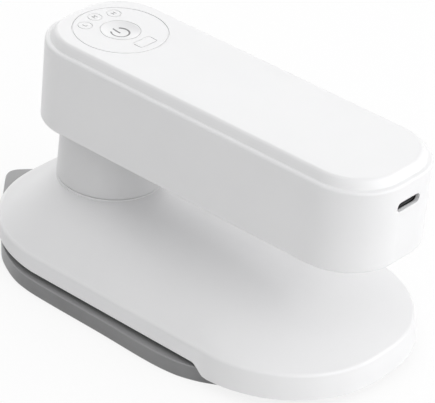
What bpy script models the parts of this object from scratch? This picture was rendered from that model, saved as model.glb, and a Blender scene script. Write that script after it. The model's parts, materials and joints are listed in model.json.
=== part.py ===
import math

import bmesh
import bpy
from mathutils import Vector

# Handle: reaches are measured from the neck axis
HANDLE_FRONT_REACH = 0.0200
HANDLE_REAR_REACH = 0.1088
HANDLE_WIDTH = 0.0430
HANDLE_HEIGHT = 0.0255
HANDLE_CORNER = 0.0172
HANDLE_WALL = 0.0020
HANDLE_FOOT_ROUND = 0.0024
HANDLE_LIP = 0.0013
HANDLE_LIP_ROUND = 0.0011
COVER_RISE = 0.0026
COVER_DEPTH = 0.0012
COVER_ROUND = 0.0018

# Neck and its swivel
NECK_TOP_RADIUS = 0.0159
NECK_FOOT_RADIUS = 0.0165
NECK_HEIGHT = 0.0202
NECK_WALL = 0.0020
SPINDLE_RADIUS = 0.0090
SPINDLE_WALL = 0.0025
SOCKET_WIDTH = 0.0042
SOCKET_DEPTH = 0.0052
WASHER_THICKNESS = 0.0006
CLIP_THICKNESS = 0.0007
CLIP_GRIP = 0.0008

# Base cover: rim outline, skirt and dome
RIM_FRONT_REACH = 0.0312
RIM_REAR_REACH = 0.1073
RIM_HALF_WIDTH = 0.0379
RIM_NOSE_START = 0.0054
RIM_REAR_CORNER = 0.0344
RIM_ROUND = 0.0012
SKIRT_FLARE = 0.0012
SKIRT_HEIGHT = 0.0043
SKIRT_GAP = 0.0021
REAR_DROP = 0.0035
STEP_LENGTH = 0.0056
DOME_RISE = 0.0115
DOME_FRONT_FALL = 0.0008
COLLAR_LIP = 0.0004
COVER_WALL = 0.0020

# Soleplate
SOLE_NOSE_REACH = 0.0417
SOLE_LENGTH = 0.1397
SOLE_HALF_WIDTH = 0.0410
SOLE_THICKNESS = 0.0050
SOLE_EDGE = 0.0004
STEAM_HOLE_RADIUS = 0.0012

# Steam chamber and heater
CHAMBER_NOSE_REACH = 0.0160
CHAMBER_LENGTH = 0.0580
CHAMBER_HALF_WIDTH = 0.0200
CHAMBER_HEIGHT = 0.0040
CHAMBER_WALL = 0.0030
SEAL_THICKNESS = 0.0008
LID_THICKNESS = 0.0015
ELEMENT_RADIUS = 0.0020
FRAME_THICKNESS = 0.0020
THERMOSTAT_RADIUS = 0.0050
THERMOSTAT_HEIGHT = 0.0040
THERMOSTAT_CAP_RADIUS = 0.0035
FUSE_RADIUS = 0.0016
FUSE_LENGTH = 0.0110
TERMINAL_SIZE = 0.0080
TERMINAL_HEIGHT = 0.0016

# Water side
TANK_FRONT = 0.0500
TANK_REAR = 0.0860
TANK_HALF_WIDTH = 0.0240
TANK_ROOM = 0.0013
TANK_WALL = 0.0012
TANK_FLOOR = 0.0012
PUMP_RADIUS = 0.0032
PUMP_LENGTH = 0.0260
MOTOR_RADIUS = 0.00275
HOSE_RADIUS = 0.0014
FILLER_REACH = 0.0620
FILLER_SIDE = 0.0185
FILLER_HEAD_RADIUS = 0.0050
FILLER_HEAD_HEIGHT = 0.0014
FILLER_STEM_RADIUS = 0.0034
FILLER_STEM_LENGTH = 0.0062

# Controls on the handle's top
PANEL_RADIUS = 0.0143
PANEL_THICKNESS = 0.0008
GROOVE = 0.0003
BUTTON_RADIUS = 0.0059
BUTTON_DISH = 0.0007
BUTTON_FLANGE = 0.0010
BUTTON_TRAVEL = 0.0006
STEM_RADIUS = 0.0015
LENS_RADIUS = 0.0019
LENS_CIRCLE = 0.0106
LENS_SPACING_ANGLE = math.radians(35.2)
LENS_MIDDLE_ANGLE = math.radians(178.6)
WINDOW_LENGTH = 0.0067
WINDOW_WIDTH = 0.0033
WINDOW_REACH = 0.0098
WINDOW_CORNER = 0.0005
BOARD_RADIUS = 0.0150
BOARD_THICKNESS = 0.0016
BOARD_DROP = 0.0050
POST_RADIUS = 0.0016
POST_CIRCLE = 0.0132
SWITCH_SIZE = 0.0060
SWITCH_HEIGHT = 0.0021

# Battery and charging socket
CELL_SIDE_ROOM = 0.00095
CELL_TOP_ROOM = 0.0021
CELL_START = 0.0260
CELL_END_ROOM = 0.0178
CELL_CAP_RADIUS = 0.0030
CELL_CAP_HEIGHT = 0.0008
CRADLE_HEIGHT = 0.0050
CRADLE_FLOOR = 0.0012
PORT_WIDTH = 0.0088
PORT_HEIGHT = 0.0028
PORT_DEPTH = 0.0070
PORT_WALL = 0.0003
PORT_RECESS = 0.0008
PORT_DROP = 0.0067
TONGUE_THICKNESS = 0.0007
TONGUE_WIDTH = 0.0063
TONGUE_RECESS = 0.0010
CHARGE_BOARD_LENGTH = 0.0120
CHARGE_BOARD_SIDE_ROOM = 0.0105
LEAD_RADIUS = 0.0022

# Screws
SCREW_RADIUS = 0.0011
SCREW_HEAD_RADIUS = 0.0021
SCREW_HEAD_HEIGHT = 0.0014
SCREW_BITE = 0.0060
BOSS_RADIUS = 0.0026
BOSS_CIRCLE = 0.0110
BOSS_START_ANGLE = math.radians(45)
FRAME_SCREW_BITE = 0.0028

# Fits
CLEARANCE = 0.0003
OVERRUN = 0.0020
MERGE = 0.000001

# Heights above the surface that the iron stands on
SKIRT_FRONT_BOTTOM = SOLE_THICKNESS + SKIRT_GAP
SKIRT_REAR_BOTTOM = SKIRT_FRONT_BOTTOM - REAR_DROP
RIM_Z = SKIRT_FRONT_BOTTOM + SKIRT_HEIGHT
DOME_Z = RIM_Z + DOME_RISE
COLLAR_Z = DOME_Z + COLLAR_LIP
NECK_Z = COLLAR_Z + CLEARANCE
HANDLE_Z = NECK_Z + NECK_HEIGHT + CLEARANCE
HANDLE_TOP_Z = HANDLE_Z + HANDLE_HEIGHT
COVER_Z = HANDLE_TOP_Z - COVER_DEPTH
TOP_Z = HANDLE_TOP_Z + COVER_RISE
FRAME_Z = SOLE_THICKNESS + CLEARANCE
FRAME_TOP_Z = FRAME_Z + FRAME_THICKNESS
LID_Z = FRAME_Z + CHAMBER_HEIGHT + SEAL_THICKNESS + 2 * CLEARANCE
LID_TOP_Z = LID_Z + LID_THICKNESS
BOARD_Z = COVER_Z - BOARD_DROP - BOARD_THICKNESS
HANDLE_FLOOR_Z = HANDLE_Z + HANDLE_WALL
CRADLE_Z = HANDLE_FLOOR_Z + CLEARANCE
CELL_SEAT_Z = CRADLE_Z + CRADLE_FLOOR + CLEARANCE
PORT_Z = HANDLE_TOP_Z - PORT_DROP
CHARGE_BOARD_Z = PORT_Z - PORT_HEIGHT / 2 - CLEARANCE - BOARD_THICKNESS
SWITCH_Z = BOARD_Z + BOARD_THICKNESS + CLEARANCE
PUMP_Z = FRAME_TOP_Z + CLEARANCE + PUMP_RADIUS
OUTLET_Z = PUMP_Z + HOSE_RADIUS

# The part stands on z = 0, with its origin under the middle of its box
NECK_X = (SOLE_NOSE_REACH - HANDLE_REAR_REACH) / 2
STEP_END = RIM_REAR_REACH - RIM_REAR_CORNER
STEP_START = STEP_END - STEP_LENGTH
FRAME_INSET = COVER_WALL + CLEARANCE
PUMP_X = TANK_FRONT - CLEARANCE - PUMP_RADIUS

# Two cells lie side by side and fill the room in the handle
CELL_LENGTH = HANDLE_REAR_REACH - CELL_START - CELL_END_ROOM
CELL_WIDTH_ROOM = HANDLE_WIDTH / 2 - HANDLE_WALL - CELL_SIDE_ROOM - CLEARANCE / 2
CELL_HEIGHT_ROOM = COVER_Z - CELL_TOP_ROOM - CELL_SEAT_Z
CELL_RADIUS = min(CELL_WIDTH_ROOM, CELL_HEIGHT_ROOM) / 2
CHARGE_BOARD_WIDTH = HANDLE_WIDTH - 2 * CHARGE_BOARD_SIDE_ROOM
CHARGE_BOARD_X = HANDLE_REAR_REACH - HANDLE_WALL - OVERRUN - CHARGE_BOARD_LENGTH / 2

# Half outline of the boat-shaped soleplate, nose to heel
BOAT_SHARES = [
    (0.000, 0.000), (0.004, 0.051), (0.016, 0.109), (0.050, 0.246), (0.087, 0.392),
    (0.125, 0.527), (0.172, 0.687), (0.215, 0.820), (0.276, 0.930), (0.328, 0.973),
    (0.399, 0.985), (0.549, 0.989), (0.671, 1.000), (0.739, 0.988), (0.783, 0.951),
    (0.824, 0.885), (0.875, 0.762), (0.928, 0.567), (0.975, 0.308), (1.000, 0.000),
]
STEAM_HOLE_SHARES = [(0.16, 0.0), (0.34, 0.42), (0.34, -0.42), (0.55, 0.62), (0.55, -0.62),
                     (0.76, 0.66), (0.76, -0.66)]
FRAME_SCREW_SHARES = [(0.10, 0.82), (0.10, -0.82), (0.60, 0.80), (0.60, -0.80)]
SKIRT_ROW_SHARES = [0.0, 0.5]
RIM_TURN_SHARES = [0.0, 0.5, 1.0]
DOME_ROW_SHARES = [0.12, 0.32, 0.60, 1.0]
DISH_SHARES = [0.0, 0.3, 0.6, 0.85]
DOME_POWER_MEAN = 1.5
DOME_POWER_SWING = 0.2
ELEMENT_START_SHARE = 0.78
PORT_ROUND_SHARE = 0.98

FINE_STEPS = 40
ROUND_STEPS = 32
MIDDLE_STEPS = 20
SMALL_STEPS = 12
TINY_STEPS = 8
CORNER_STEPS = 3
NOSE_STEPS = 9
SIDE_STEPS = 4
SLOPE_STEPS = 6
HEEL_STEPS = 8
TANK_STEPS = 6
HOSE_STEPS = 4
SHARP_ANGLE = math.radians(32)
FLAT_ANGLE = math.radians(0.05)
BODY_NAME = "travel_steam_iron"


def clear_scene():
    for item in list(bpy.data.objects):
        bpy.data.objects.remove(item, do_unlink=True)


def collection(name):
    group = bpy.data.collections.new(name)
    bpy.context.scene.collection.children.link(group)
    return group


def material(name, colour, roughness, metallic=0.0):
    made = bpy.data.materials.new(name)
    made.use_nodes = True
    shader = made.node_tree.nodes["Principled BSDF"]
    shader.inputs["Base Color"].default_value = (*colour, 1.0)
    shader.inputs["Roughness"].default_value = roughness
    shader.inputs["Metallic"].default_value = metallic
    return made


clear_scene()
parts = collection(BODY_NAME)
cutters = collection("cutters")

WHITE = ("white_plastic", (0.86, 0.86, 0.87), 0.42, 0.0)
GREY_COAT = ("sole_coating", (0.20, 0.20, 0.20), 0.45, 0.2)
CAST = ("cast_aluminium", (0.60, 0.61, 0.62), 0.50, 1.0)
STEEL = ("steel", (0.55, 0.56, 0.57), 0.30, 1.0)
DARK = ("dark_plastic", (0.04, 0.04, 0.045), 0.55, 0.0)
RUBBER = ("silicone", (0.55, 0.56, 0.57), 0.70, 0.0)
CLEAR_TANK = ("tank_plastic", (0.62, 0.70, 0.74), 0.20, 0.0)
BOARD = ("circuit_board", (0.03, 0.16, 0.07), 0.45, 0.0)
WRAP = ("cell_wrap", (0.05, 0.16, 0.36), 0.40, 0.0)
LENS = ("lens", (0.78, 0.80, 0.82), 0.20, 0.0)
WINDOW = ("window", (0.72, 0.73, 0.74), 0.15, 0.0)


def surface_of(finish):
    name, colour, roughness, metallic = finish
    return bpy.data.materials.get(name) or material(name, colour, roughness, metallic)


def pivot(name, place, turn=(0.0, 0.0, 0.0)):
    empty = bpy.data.objects.new(name, None)
    empty.location = place
    empty.rotation_euler = turn
    parts.objects.link(empty)
    return empty


def add(name, mesh, parent, finish, place=(0.0, 0.0, 0.0), turn=(0.0, 0.0, 0.0)):
    item = bpy.data.objects.new(name, mesh)
    item.location = place
    item.rotation_euler = turn
    item.parent = parent
    if finish is None:
        cutters.objects.link(item)
        item.hide_render = True
        item.display_type = "WIRE"
    else:
        parts.objects.link(item)
        mesh.materials.append(surface_of(finish))
        mesh.shade_smooth()
        mesh.set_sharp_from_angle(angle=SHARP_ANGLE)
    return item


def boolean(target, tool, operation="DIFFERENCE"):
    step = target.modifiers.new(tool.name, "BOOLEAN")
    step.operation = operation
    step.solver = "EXACT"
    step.object = tool
    return target


def mesh_of(curve_data):
    holder = bpy.data.objects.new(curve_data.name, curve_data)
    cutters.objects.link(holder)
    bpy.context.view_layer.update()
    graph = bpy.context.evaluated_depsgraph_get()
    mesh = bpy.data.meshes.new_from_object(holder.evaluated_get(graph))
    bpy.data.objects.remove(holder, do_unlink=True)
    shape = bmesh.new()
    shape.from_mesh(mesh)
    bmesh.ops.remove_doubles(shape, verts=shape.verts, dist=MERGE)
    bmesh.ops.dissolve_limit(shape, angle_limit=FLAT_ANGLE, verts=shape.verts, edges=shape.edges)
    bmesh.ops.recalc_face_normals(shape, faces=shape.faces)
    shape.to_mesh(mesh)
    shape.free()
    return mesh


# A flat outline, with any holes, extruded upwards from its bottom
def plate(name, loops, bottom, thickness, parent, finish, turn=(0.0, 0.0, 0.0), place=None):
    data = bpy.data.curves.new(name, "CURVE")
    data.dimensions = "2D"
    data.fill_mode = "BOTH"
    data.extrude = thickness / 2
    for loop in loops:
        line = data.splines.new("POLY")
        line.points.add(len(loop) - 1)
        for point, (x, y) in zip(line.points, loop):
            point.co = (x, y, 0.0, 1.0)
        line.use_cyclic_u = True
    centre = place or (0.0, 0.0, bottom + thickness / 2)
    return add(name, mesh_of(data), parent, finish, centre, turn)


# A profile turned about Z, running down its outer side
def turned(name, profile, parent, finish, steps=ROUND_STEPS, place=(0.0, 0.0, 0.0),
           turn=(0.0, 0.0, 0.0), closed=False):
    mesh = bpy.data.meshes.new(name)
    count = len(profile)
    edges = [(index, index + 1) for index in range(count - 1)]
    if closed:
        edges.append((count - 1, 0))
    mesh.from_pydata([(radius, 0.0, z) for radius, z in profile], edges, [])
    item = add(name, mesh, parent, finish, place, turn)
    screw = item.modifiers.new("turn", "SCREW")
    screw.axis = "Z"
    screw.angle = math.tau
    screw.steps = steps
    screw.render_steps = steps
    screw.use_merge_vertices = True
    screw.merge_threshold = MERGE
    screw.use_smooth_shade = False
    return item


def ring(name, outer, inner, bottom, height, parent, finish, steps=ROUND_STEPS):
    top = bottom + height
    profile = [(outer, top), (outer, bottom), (inner, bottom), (inner, top)]
    return turned(name, profile, parent, finish, steps, closed=True)


def rod(name, radius, bottom, height, parent, finish, steps=SMALL_STEPS, place=(0.0, 0.0, 0.0),
        turn=(0.0, 0.0, 0.0)):
    top = bottom + height
    profile = [(0.0, top), (radius, top), (radius, bottom), (0.0, bottom)]
    return turned(name, profile, parent, finish, steps, place, turn)


def box(name, size, centre, parent, finish, rounding=0.0):
    mesh = bpy.data.meshes.new(name)
    shape = bmesh.new()
    bmesh.ops.create_cube(shape, size=1.0)
    bmesh.ops.scale(shape, vec=size, verts=shape.verts)
    shape.to_mesh(mesh)
    shape.free()
    item = add(name, mesh, parent, finish, centre)
    if rounding:
        bevel(item, rounding)
    return item


def bevel(item, width, segments=2):
    step = item.modifiers.new("edge", "BEVEL")
    step.width = width
    step.segments = segments
    step.limit_method = "ANGLE"
    step.angle_limit = SHARP_ANGLE
    return item


def on_outline(place, outline):
    return any(math.hypot(place.x - x, place.y - y) < MERGE for x, y in outline)


# Rounds the corners that an outline has at each level of a plate by that level's width
def round_corners(item, outline, widths, segments):
    widest = max(widths.values())
    shape = bmesh.new()
    shape.from_mesh(item.data)
    weight = shape.edges.layers.float.new("bevel_weight_edge")
    for edge in shape.edges:
        ends = [vert.co for vert in edge.verts]
        if edge.calc_face_angle(0.0) < SHARP_ANGLE:
            continue
        if not all(on_outline(end, outline) for end in ends):
            continue
        for level, width in widths.items():
            if all(abs(end.z - level) < MERGE for end in ends):
                edge[weight] = width / widest
    shape.to_mesh(item.data)
    shape.free()
    step = item.modifiers.new("round", "BEVEL")
    step.width = widest
    step.segments = segments
    step.limit_method = "WEIGHT"
    return item


def tube(name, points, radius, parent, finish):
    data = bpy.data.curves.new(name, "CURVE")
    data.dimensions = "3D"
    data.bevel_depth = radius
    data.bevel_resolution = 2
    data.use_fill_caps = True
    line = data.splines.new("POLY")
    line.points.add(len(points) - 1)
    for point, place in zip(line.points, points):
        point.co = (*place, 1.0)
    return add(name, mesh_of(data), parent, finish)


def circle(radius, centre=(0.0, 0.0), steps=SMALL_STEPS):
    angles = [math.tau * index / steps for index in range(steps)]
    return [(centre[0] + radius * math.cos(a), centre[1] + radius * math.sin(a)) for a in angles]


def arc(centre, radius, start, end, steps):
    angles = [start + (end - start) * index / steps for index in range(steps + 1)]
    return [(centre[0] + radius * math.cos(a), centre[1] + radius * math.sin(a)) for a in angles]


def rounded_box(low, high, corner, steps=TINY_STEPS):
    quarter = math.pi / 2
    centres = [(high[0] - corner, high[1] - corner), (low[0] + corner, high[1] - corner),
               (low[0] + corner, low[1] + corner), (high[0] - corner, low[1] + corner)]
    loop = []
    for index, centre in enumerate(centres):
        loop += arc(centre, corner, index * quarter, (index + 1) * quarter, steps)
    return loop


def handle_loop(inset):
    half = HANDLE_WIDTH / 2 - inset
    low = (-HANDLE_FRONT_REACH + inset, -half)
    high = (HANDLE_REAR_REACH - inset, half)
    return rounded_box(low, high, HANDLE_CORNER - inset)


# Half of the rim outline from front to rear: place and outward direction of each point
def rim_half():
    front = RIM_FRONT_REACH + RIM_NOSE_START
    half = []
    for index in range(NOSE_STEPS + 1):
        a = math.pi - math.pi / 2 * index / NOSE_STEPS
        place = Vector((RIM_NOSE_START + front * math.cos(a), RIM_HALF_WIDTH * math.sin(a)))
        outward = Vector((math.cos(a) / front, math.sin(a) / RIM_HALF_WIDTH)).normalized()
        half.append((place, outward))
    straight = STEP_START - RIM_NOSE_START
    side = [RIM_NOSE_START + straight * (index + 1) / SIDE_STEPS for index in range(SIDE_STEPS)]
    side += [STEP_START + STEP_LENGTH * index / SLOPE_STEPS for index in range(1, SLOPE_STEPS)]
    half += [(Vector((x, RIM_HALF_WIDTH)), Vector((0.0, 1.0))) for x in side]
    centre = Vector((STEP_END, RIM_HALF_WIDTH - RIM_REAR_CORNER))
    for index in range(HEEL_STEPS + 1):
        a = math.pi / 2 - math.pi / 2 * index / HEEL_STEPS
        outward = Vector((math.cos(a), math.sin(a)))
        half.append((centre + outward * RIM_REAR_CORNER, outward))
    return half


def rim_columns():
    half = rim_half()
    flip = Vector((1.0, -1.0))
    other = [(place * flip, outward * flip) for place, outward in half[1:]]
    return other[::-1] + half


def rim_loop(offset):
    return [tuple(place + outward * offset) for place, outward in rim_columns()]


# A point a share of the way from b to c on a smooth curve through a, b, c and d
def bend(a, b, c, d, t):
    start = 2 * b + (c - a) * t + (2 * a - 5 * b + 4 * c - d) * t ** 2
    return (start + (3 * b - a - 3 * c + d) * t ** 3) / 2


# A smooth closed outline through the boat shares
def boat_loop(nose, length, half_width, steps=1):
    half = [(-nose + x * length, y * half_width) for x, y in BOAT_SHARES]
    knots = half + [(x, -y) for x, y in half[-2:0:-1]]
    count = len(knots)
    loop = []
    for index in range(count):
        a, b, c, d = (Vector(knots[(index + k - 1) % count]) for k in range(4))
        loop += [tuple(bend(a, b, c, d, step / steps)) for step in range(steps)]
    return loop[::-1]


def offset_loop(loop, distance):
    moved = []
    count = len(loop)
    for index in range(count):
        ahead = Vector(loop[(index + 1) % count]) - Vector(loop[index - 1])
        outward = Vector((ahead.y, -ahead.x)).normalized()
        moved.append(tuple(Vector(loop[index]) + outward * distance))
    return moved


def skirt_bottom(x):
    t = min(max((x - STEP_START) / STEP_LENGTH, 0.0), 1.0)
    return SKIRT_FRONT_BOTTOM - REAR_DROP * t * t * (3 - 2 * t)


# Distance from the neck axis to the rim along one direction
def rim_distance(direction):
    best = RIM_HALF_WIDTH
    columns = rim_columns()
    for index, (end, _) in enumerate(columns):
        start = columns[index - 1][0]
        span = end - start
        cross = direction.x * span.y - direction.y * span.x
        if abs(cross) < MERGE * MERGE:
            continue
        along = (start.x * span.y - start.y * span.x) / cross
        share = (start.x * direction.y - start.y * direction.x) / cross
        if along > 0 and -MERGE <= share <= 1 + MERGE:
            best = along
    return best


# Height of the dome a share of the way from the rim to the neck's foot
def dome_height(share, direction):
    top = DOME_Z - DOME_FRONT_FALL * (1 - direction.x) / 2
    power = DOME_POWER_MEAN + DOME_POWER_SWING * direction.x
    return RIM_Z + (top - RIM_Z) * (1 - (1 - share) ** power)


def dome_at(x, y):
    reach = Vector((x, y))
    direction = reach.normalized()
    outer = rim_distance(direction)
    share = (outer - reach.length) / (outer - NECK_FOOT_RADIUS)
    return dome_height(min(max(share, 0.0), 1.0), direction)


def dome_normal(x, y):
    probe = CLEARANCE
    slope_x = (dome_at(x + probe, y) - dome_at(x - probe, y)) / (2 * probe)
    slope_y = (dome_at(x, y + probe) - dome_at(x, y - probe)) / (2 * probe)
    return Vector((-slope_x, -slope_y, 1.0)).normalized()


base_pivot = pivot("base_frame", (NECK_X, 0.0, 0.0))
handle_pivot = pivot("handle_swivel_axis", (NECK_X, 0.0, 0.0))
button_pivot = pivot("button_axis", (NECK_X, 0.0, 0.0))


# Base

def make_base_cover():
    columns = rim_columns()
    rows = []
    for share in SKIRT_ROW_SHARES:
        rows.append([(place + outward * SKIRT_FLARE * (1 - share),
                      skirt_bottom(place.x) + (RIM_Z - RIM_ROUND - skirt_bottom(place.x)) * share)
                     for place, outward in columns])
    for turn in RIM_TURN_SHARES:
        inset = RIM_ROUND * (1 - math.cos(turn * math.pi / 2))
        drop = RIM_ROUND * (1 - math.sin(turn * math.pi / 2))
        rows.append([(place - outward * inset, RIM_Z - drop) for place, outward in columns])
    rim = rows[-1]
    foot = [place.normalized() * NECK_FOOT_RADIUS for place, _ in columns]
    for share in DOME_ROW_SHARES:
        rows.append([(start.lerp(end, share), dome_height(share, end.normalized()))
                     for (start, _), end in zip(rim, foot)])
    rows.append([(end, COLLAR_Z) for end in foot])
    bore = SPINDLE_RADIUS + CLEARANCE
    rows.append([(end.normalized() * bore, COLLAR_Z) for end in foot])
    shape = bmesh.new()
    grid = [[shape.verts.new((place.x, place.y, z)) for place, z in row] for row in rows]
    count = len(columns)
    for lower, upper in zip(grid, grid[1:]):
        for index in range(count):
            after = (index + 1) % count
            shape.faces.new((lower[index], lower[after], upper[after], upper[index]))
    bmesh.ops.recalc_face_normals(shape, faces=shape.faces)
    if sum(face.normal.z * face.calc_area() for face in shape.faces) < 0:
        bmesh.ops.reverse_faces(shape, faces=shape.faces)
    mesh = bpy.data.meshes.new("base_cover")
    shape.to_mesh(mesh)
    shape.free()
    cover = add("base_cover", mesh, base_pivot, WHITE)
    shell = cover.modifiers.new("wall", "SOLIDIFY")
    shell.thickness = COVER_WALL
    shell.offset = -1.0
    shell.use_even_offset = True
    hole_radius = FILLER_STEM_RADIUS + CLEARANCE
    hole = rod("filler_hole", hole_radius, -FILLER_STEM_LENGTH, 2 * FILLER_STEM_LENGTH,
               filler_pivot, None, MIDDLE_STEPS)
    return boolean(cover, hole)


def make_filler_pivot():
    normal = dome_normal(FILLER_REACH, FILLER_SIDE)
    turn = normal.to_track_quat("Z", "Y").to_euler()
    place = (NECK_X + FILLER_REACH, FILLER_SIDE, dome_at(FILLER_REACH, FILLER_SIDE))
    return pivot("filler_axis", place, turn)


def make_filler_plug():
    top = CLEARANCE + FILLER_HEAD_HEIGHT
    edge = FILLER_HEAD_HEIGHT / 3
    tip = -FILLER_STEM_LENGTH
    profile = [(0.0, top), (FILLER_HEAD_RADIUS - edge, top), (FILLER_HEAD_RADIUS, top - edge),
               (FILLER_HEAD_RADIUS, CLEARANCE), (FILLER_STEM_RADIUS, CLEARANCE),
               (FILLER_STEM_RADIUS, tip + edge), (FILLER_STEM_RADIUS - edge, tip), (0.0, tip)]
    return turned("filler_plug", profile, filler_pivot, RUBBER, MIDDLE_STEPS)


def make_soleplate():
    outline = boat_loop(SOLE_NOSE_REACH, SOLE_LENGTH, SOLE_HALF_WIDTH, 2)
    holes = [circle(STEAM_HOLE_RADIUS, place, TINY_STEPS) for place in steam_hole_places()]
    sole = plate("soleplate", [outline] + holes, 0.0, SOLE_THICKNESS, base_pivot, GREY_COAT)
    widths = {-SOLE_THICKNESS / 2: SOLE_EDGE, SOLE_THICKNESS / 2: SOLE_EDGE}
    round_corners(sole, outline, widths, 1)
    boolean(sole, make_skirt_rebate())
    for index, (x, y) in enumerate(frame_screw_places()):
        hole = rod("sole_thread_%d" % (index + 1), SCREW_RADIUS + CLEARANCE,
                   SOLE_THICKNESS - FRAME_SCREW_BITE - CLEARANCE, FRAME_SCREW_BITE + OVERRUN,
                   base_pivot, None, TINY_STEPS, (x, y, 0.0))
        boolean(sole, hole)
    return sole


def steam_hole_places():
    return [(-CHAMBER_NOSE_REACH + x * CHAMBER_LENGTH, y * CHAMBER_HALF_WIDTH)
            for x, y in STEAM_HOLE_SHARES]


def frame_screw_places():
    return [(x * RIM_REAR_REACH, y * RIM_HALF_WIDTH) for x, y in FRAME_SCREW_SHARES]


# Room for the rear skirt, which reaches down past the soleplate's top
def make_skirt_rebate():
    first = (Vector((STEP_START + STEP_LENGTH / 3, RIM_HALF_WIDTH)), Vector((0.0, 1.0)))
    half = [first] + [item for item in rim_half() if item[0].x > STEP_END + MERGE]
    outer = [place + outward * (SKIRT_FLARE + 2 * OVERRUN) for place, outward in half]
    inner = [place - outward * FRAME_INSET for place, outward in half]
    flip = Vector((1.0, -1.0))
    band = outer + [place * flip for place in outer[::-1]]
    band += [place * flip for place in inner] + inner[::-1]
    lean = COVER_WALL * SKIRT_FLARE / (SKIRT_HEIGHT - RIM_ROUND)
    bottom = SKIRT_REAR_BOTTOM - CLEARANCE - lean / 2
    return plate("skirt_rebate", [[tuple(place) for place in band]], bottom,
                 SOLE_THICKNESS - bottom + OVERRUN, base_pivot, None)


def chamber_loop(offset=0.0):
    loop = boat_loop(CHAMBER_NOSE_REACH, CHAMBER_LENGTH, CHAMBER_HALF_WIDTH)
    return offset_loop(loop, offset)


def make_chamber():
    wall = [chamber_loop(), chamber_loop(-CHAMBER_WALL)]
    plate("steam_chamber", wall, FRAME_Z, CHAMBER_HEIGHT, base_pivot, CAST)
    seal = [chamber_loop(-CHAMBER_WALL / 4), chamber_loop(-CHAMBER_WALL * 3 / 4)]
    seal_z = FRAME_Z + CHAMBER_HEIGHT + CLEARANCE
    plate("chamber_seal", seal, seal_z, SEAL_THICKNESS, base_pivot, RUBBER)
    inlet = circle(HOSE_RADIUS / 2, hose_inlet(), TINY_STEPS)
    plate("chamber_cover", [chamber_loop(), inlet], LID_Z, LID_THICKNESS, base_pivot, STEEL)


def hose_inlet():
    return (CHAMBER_LENGTH - CHAMBER_NOSE_REACH - 3 * PUMP_RADIUS, -CHAMBER_HALF_WIDTH / 3)


def make_heating_element():
    path = chamber_loop(ELEMENT_RADIUS + 2 * CLEARANCE)
    rear = CHAMBER_LENGTH * ELEMENT_START_SHARE - CHAMBER_NOSE_REACH
    bend = [(x, y) for x, y in path if x < rear]
    start = next(index for index, (x, y) in enumerate(path) if x < rear <= path[index - 1][0])
    ordered = [path[(start + index) % len(path)] for index in range(len(bend))]
    z = FRAME_Z + ELEMENT_RADIUS
    return tube("heating_element", [(x, y, z) for x, y in ordered], ELEMENT_RADIUS,
                base_pivot, STEEL)


def make_frame():
    opening = chamber_loop(2 * ELEMENT_RADIUS + 4 * CLEARANCE)
    holes = [circle(SCREW_RADIUS + CLEARANCE, place, TINY_STEPS)
             for place in frame_screw_places()]
    loops = [rim_loop(-FRAME_INSET), opening] + holes
    plate("insulating_frame", loops, FRAME_Z, FRAME_THICKNESS, base_pivot, DARK)


def screw(name, place, seat_z, bite, parent):
    head_z = seat_z + CLEARANCE
    top = head_z + SCREW_HEAD_HEIGHT
    edge = SCREW_HEAD_HEIGHT / 3
    profile = [(0.0, top), (SCREW_HEAD_RADIUS - edge, top), (SCREW_HEAD_RADIUS, top - edge),
               (SCREW_HEAD_RADIUS, head_z), (SCREW_RADIUS, head_z),
               (SCREW_RADIUS, seat_z - bite), (0.0, seat_z - bite)]
    return turned(name, profile, parent, STEEL, TINY_STEPS, (*place, 0.0))


def make_frame_screws():
    bite = FRAME_THICKNESS + CLEARANCE + FRAME_SCREW_BITE
    for index, place in enumerate(frame_screw_places()):
        screw("frame_screw_%d" % (index + 1), place, FRAME_TOP_Z, bite, base_pivot)


def make_sensors():
    seat = LID_TOP_Z + CLEARANCE
    reach = NECK_FOOT_RADIUS + THERMOSTAT_RADIUS + OVERRUN
    top = seat + THERMOSTAT_HEIGHT
    collar = seat + THERMOSTAT_HEIGHT / 3
    profile = [(0.0, top), (THERMOSTAT_CAP_RADIUS, top), (THERMOSTAT_CAP_RADIUS, collar),
               (THERMOSTAT_RADIUS, collar), (THERMOSTAT_RADIUS, seat), (0.0, seat)]
    turned("thermostat", profile, base_pivot, STEEL, MIDDLE_STEPS, (reach, 0.0, 0.0))
    place = (reach, THERMOSTAT_RADIUS + FUSE_RADIUS + OVERRUN, seat + FUSE_RADIUS)
    rod("thermal_fuse", FUSE_RADIUS, -FUSE_LENGTH / 2, FUSE_LENGTH, base_pivot, STEEL,
        SMALL_STEPS, place, (0.0, math.pi / 2, 0.0))
    size = (TERMINAL_SIZE, TERMINAL_SIZE, TERMINAL_HEIGHT)
    box("terminal_block", size, (0.0, 0.0, seat + TERMINAL_HEIGHT / 2), base_pivot, DARK)


def tank_top(x, y):
    return dome_at(x, y) - COVER_WALL - TANK_ROOM


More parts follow.
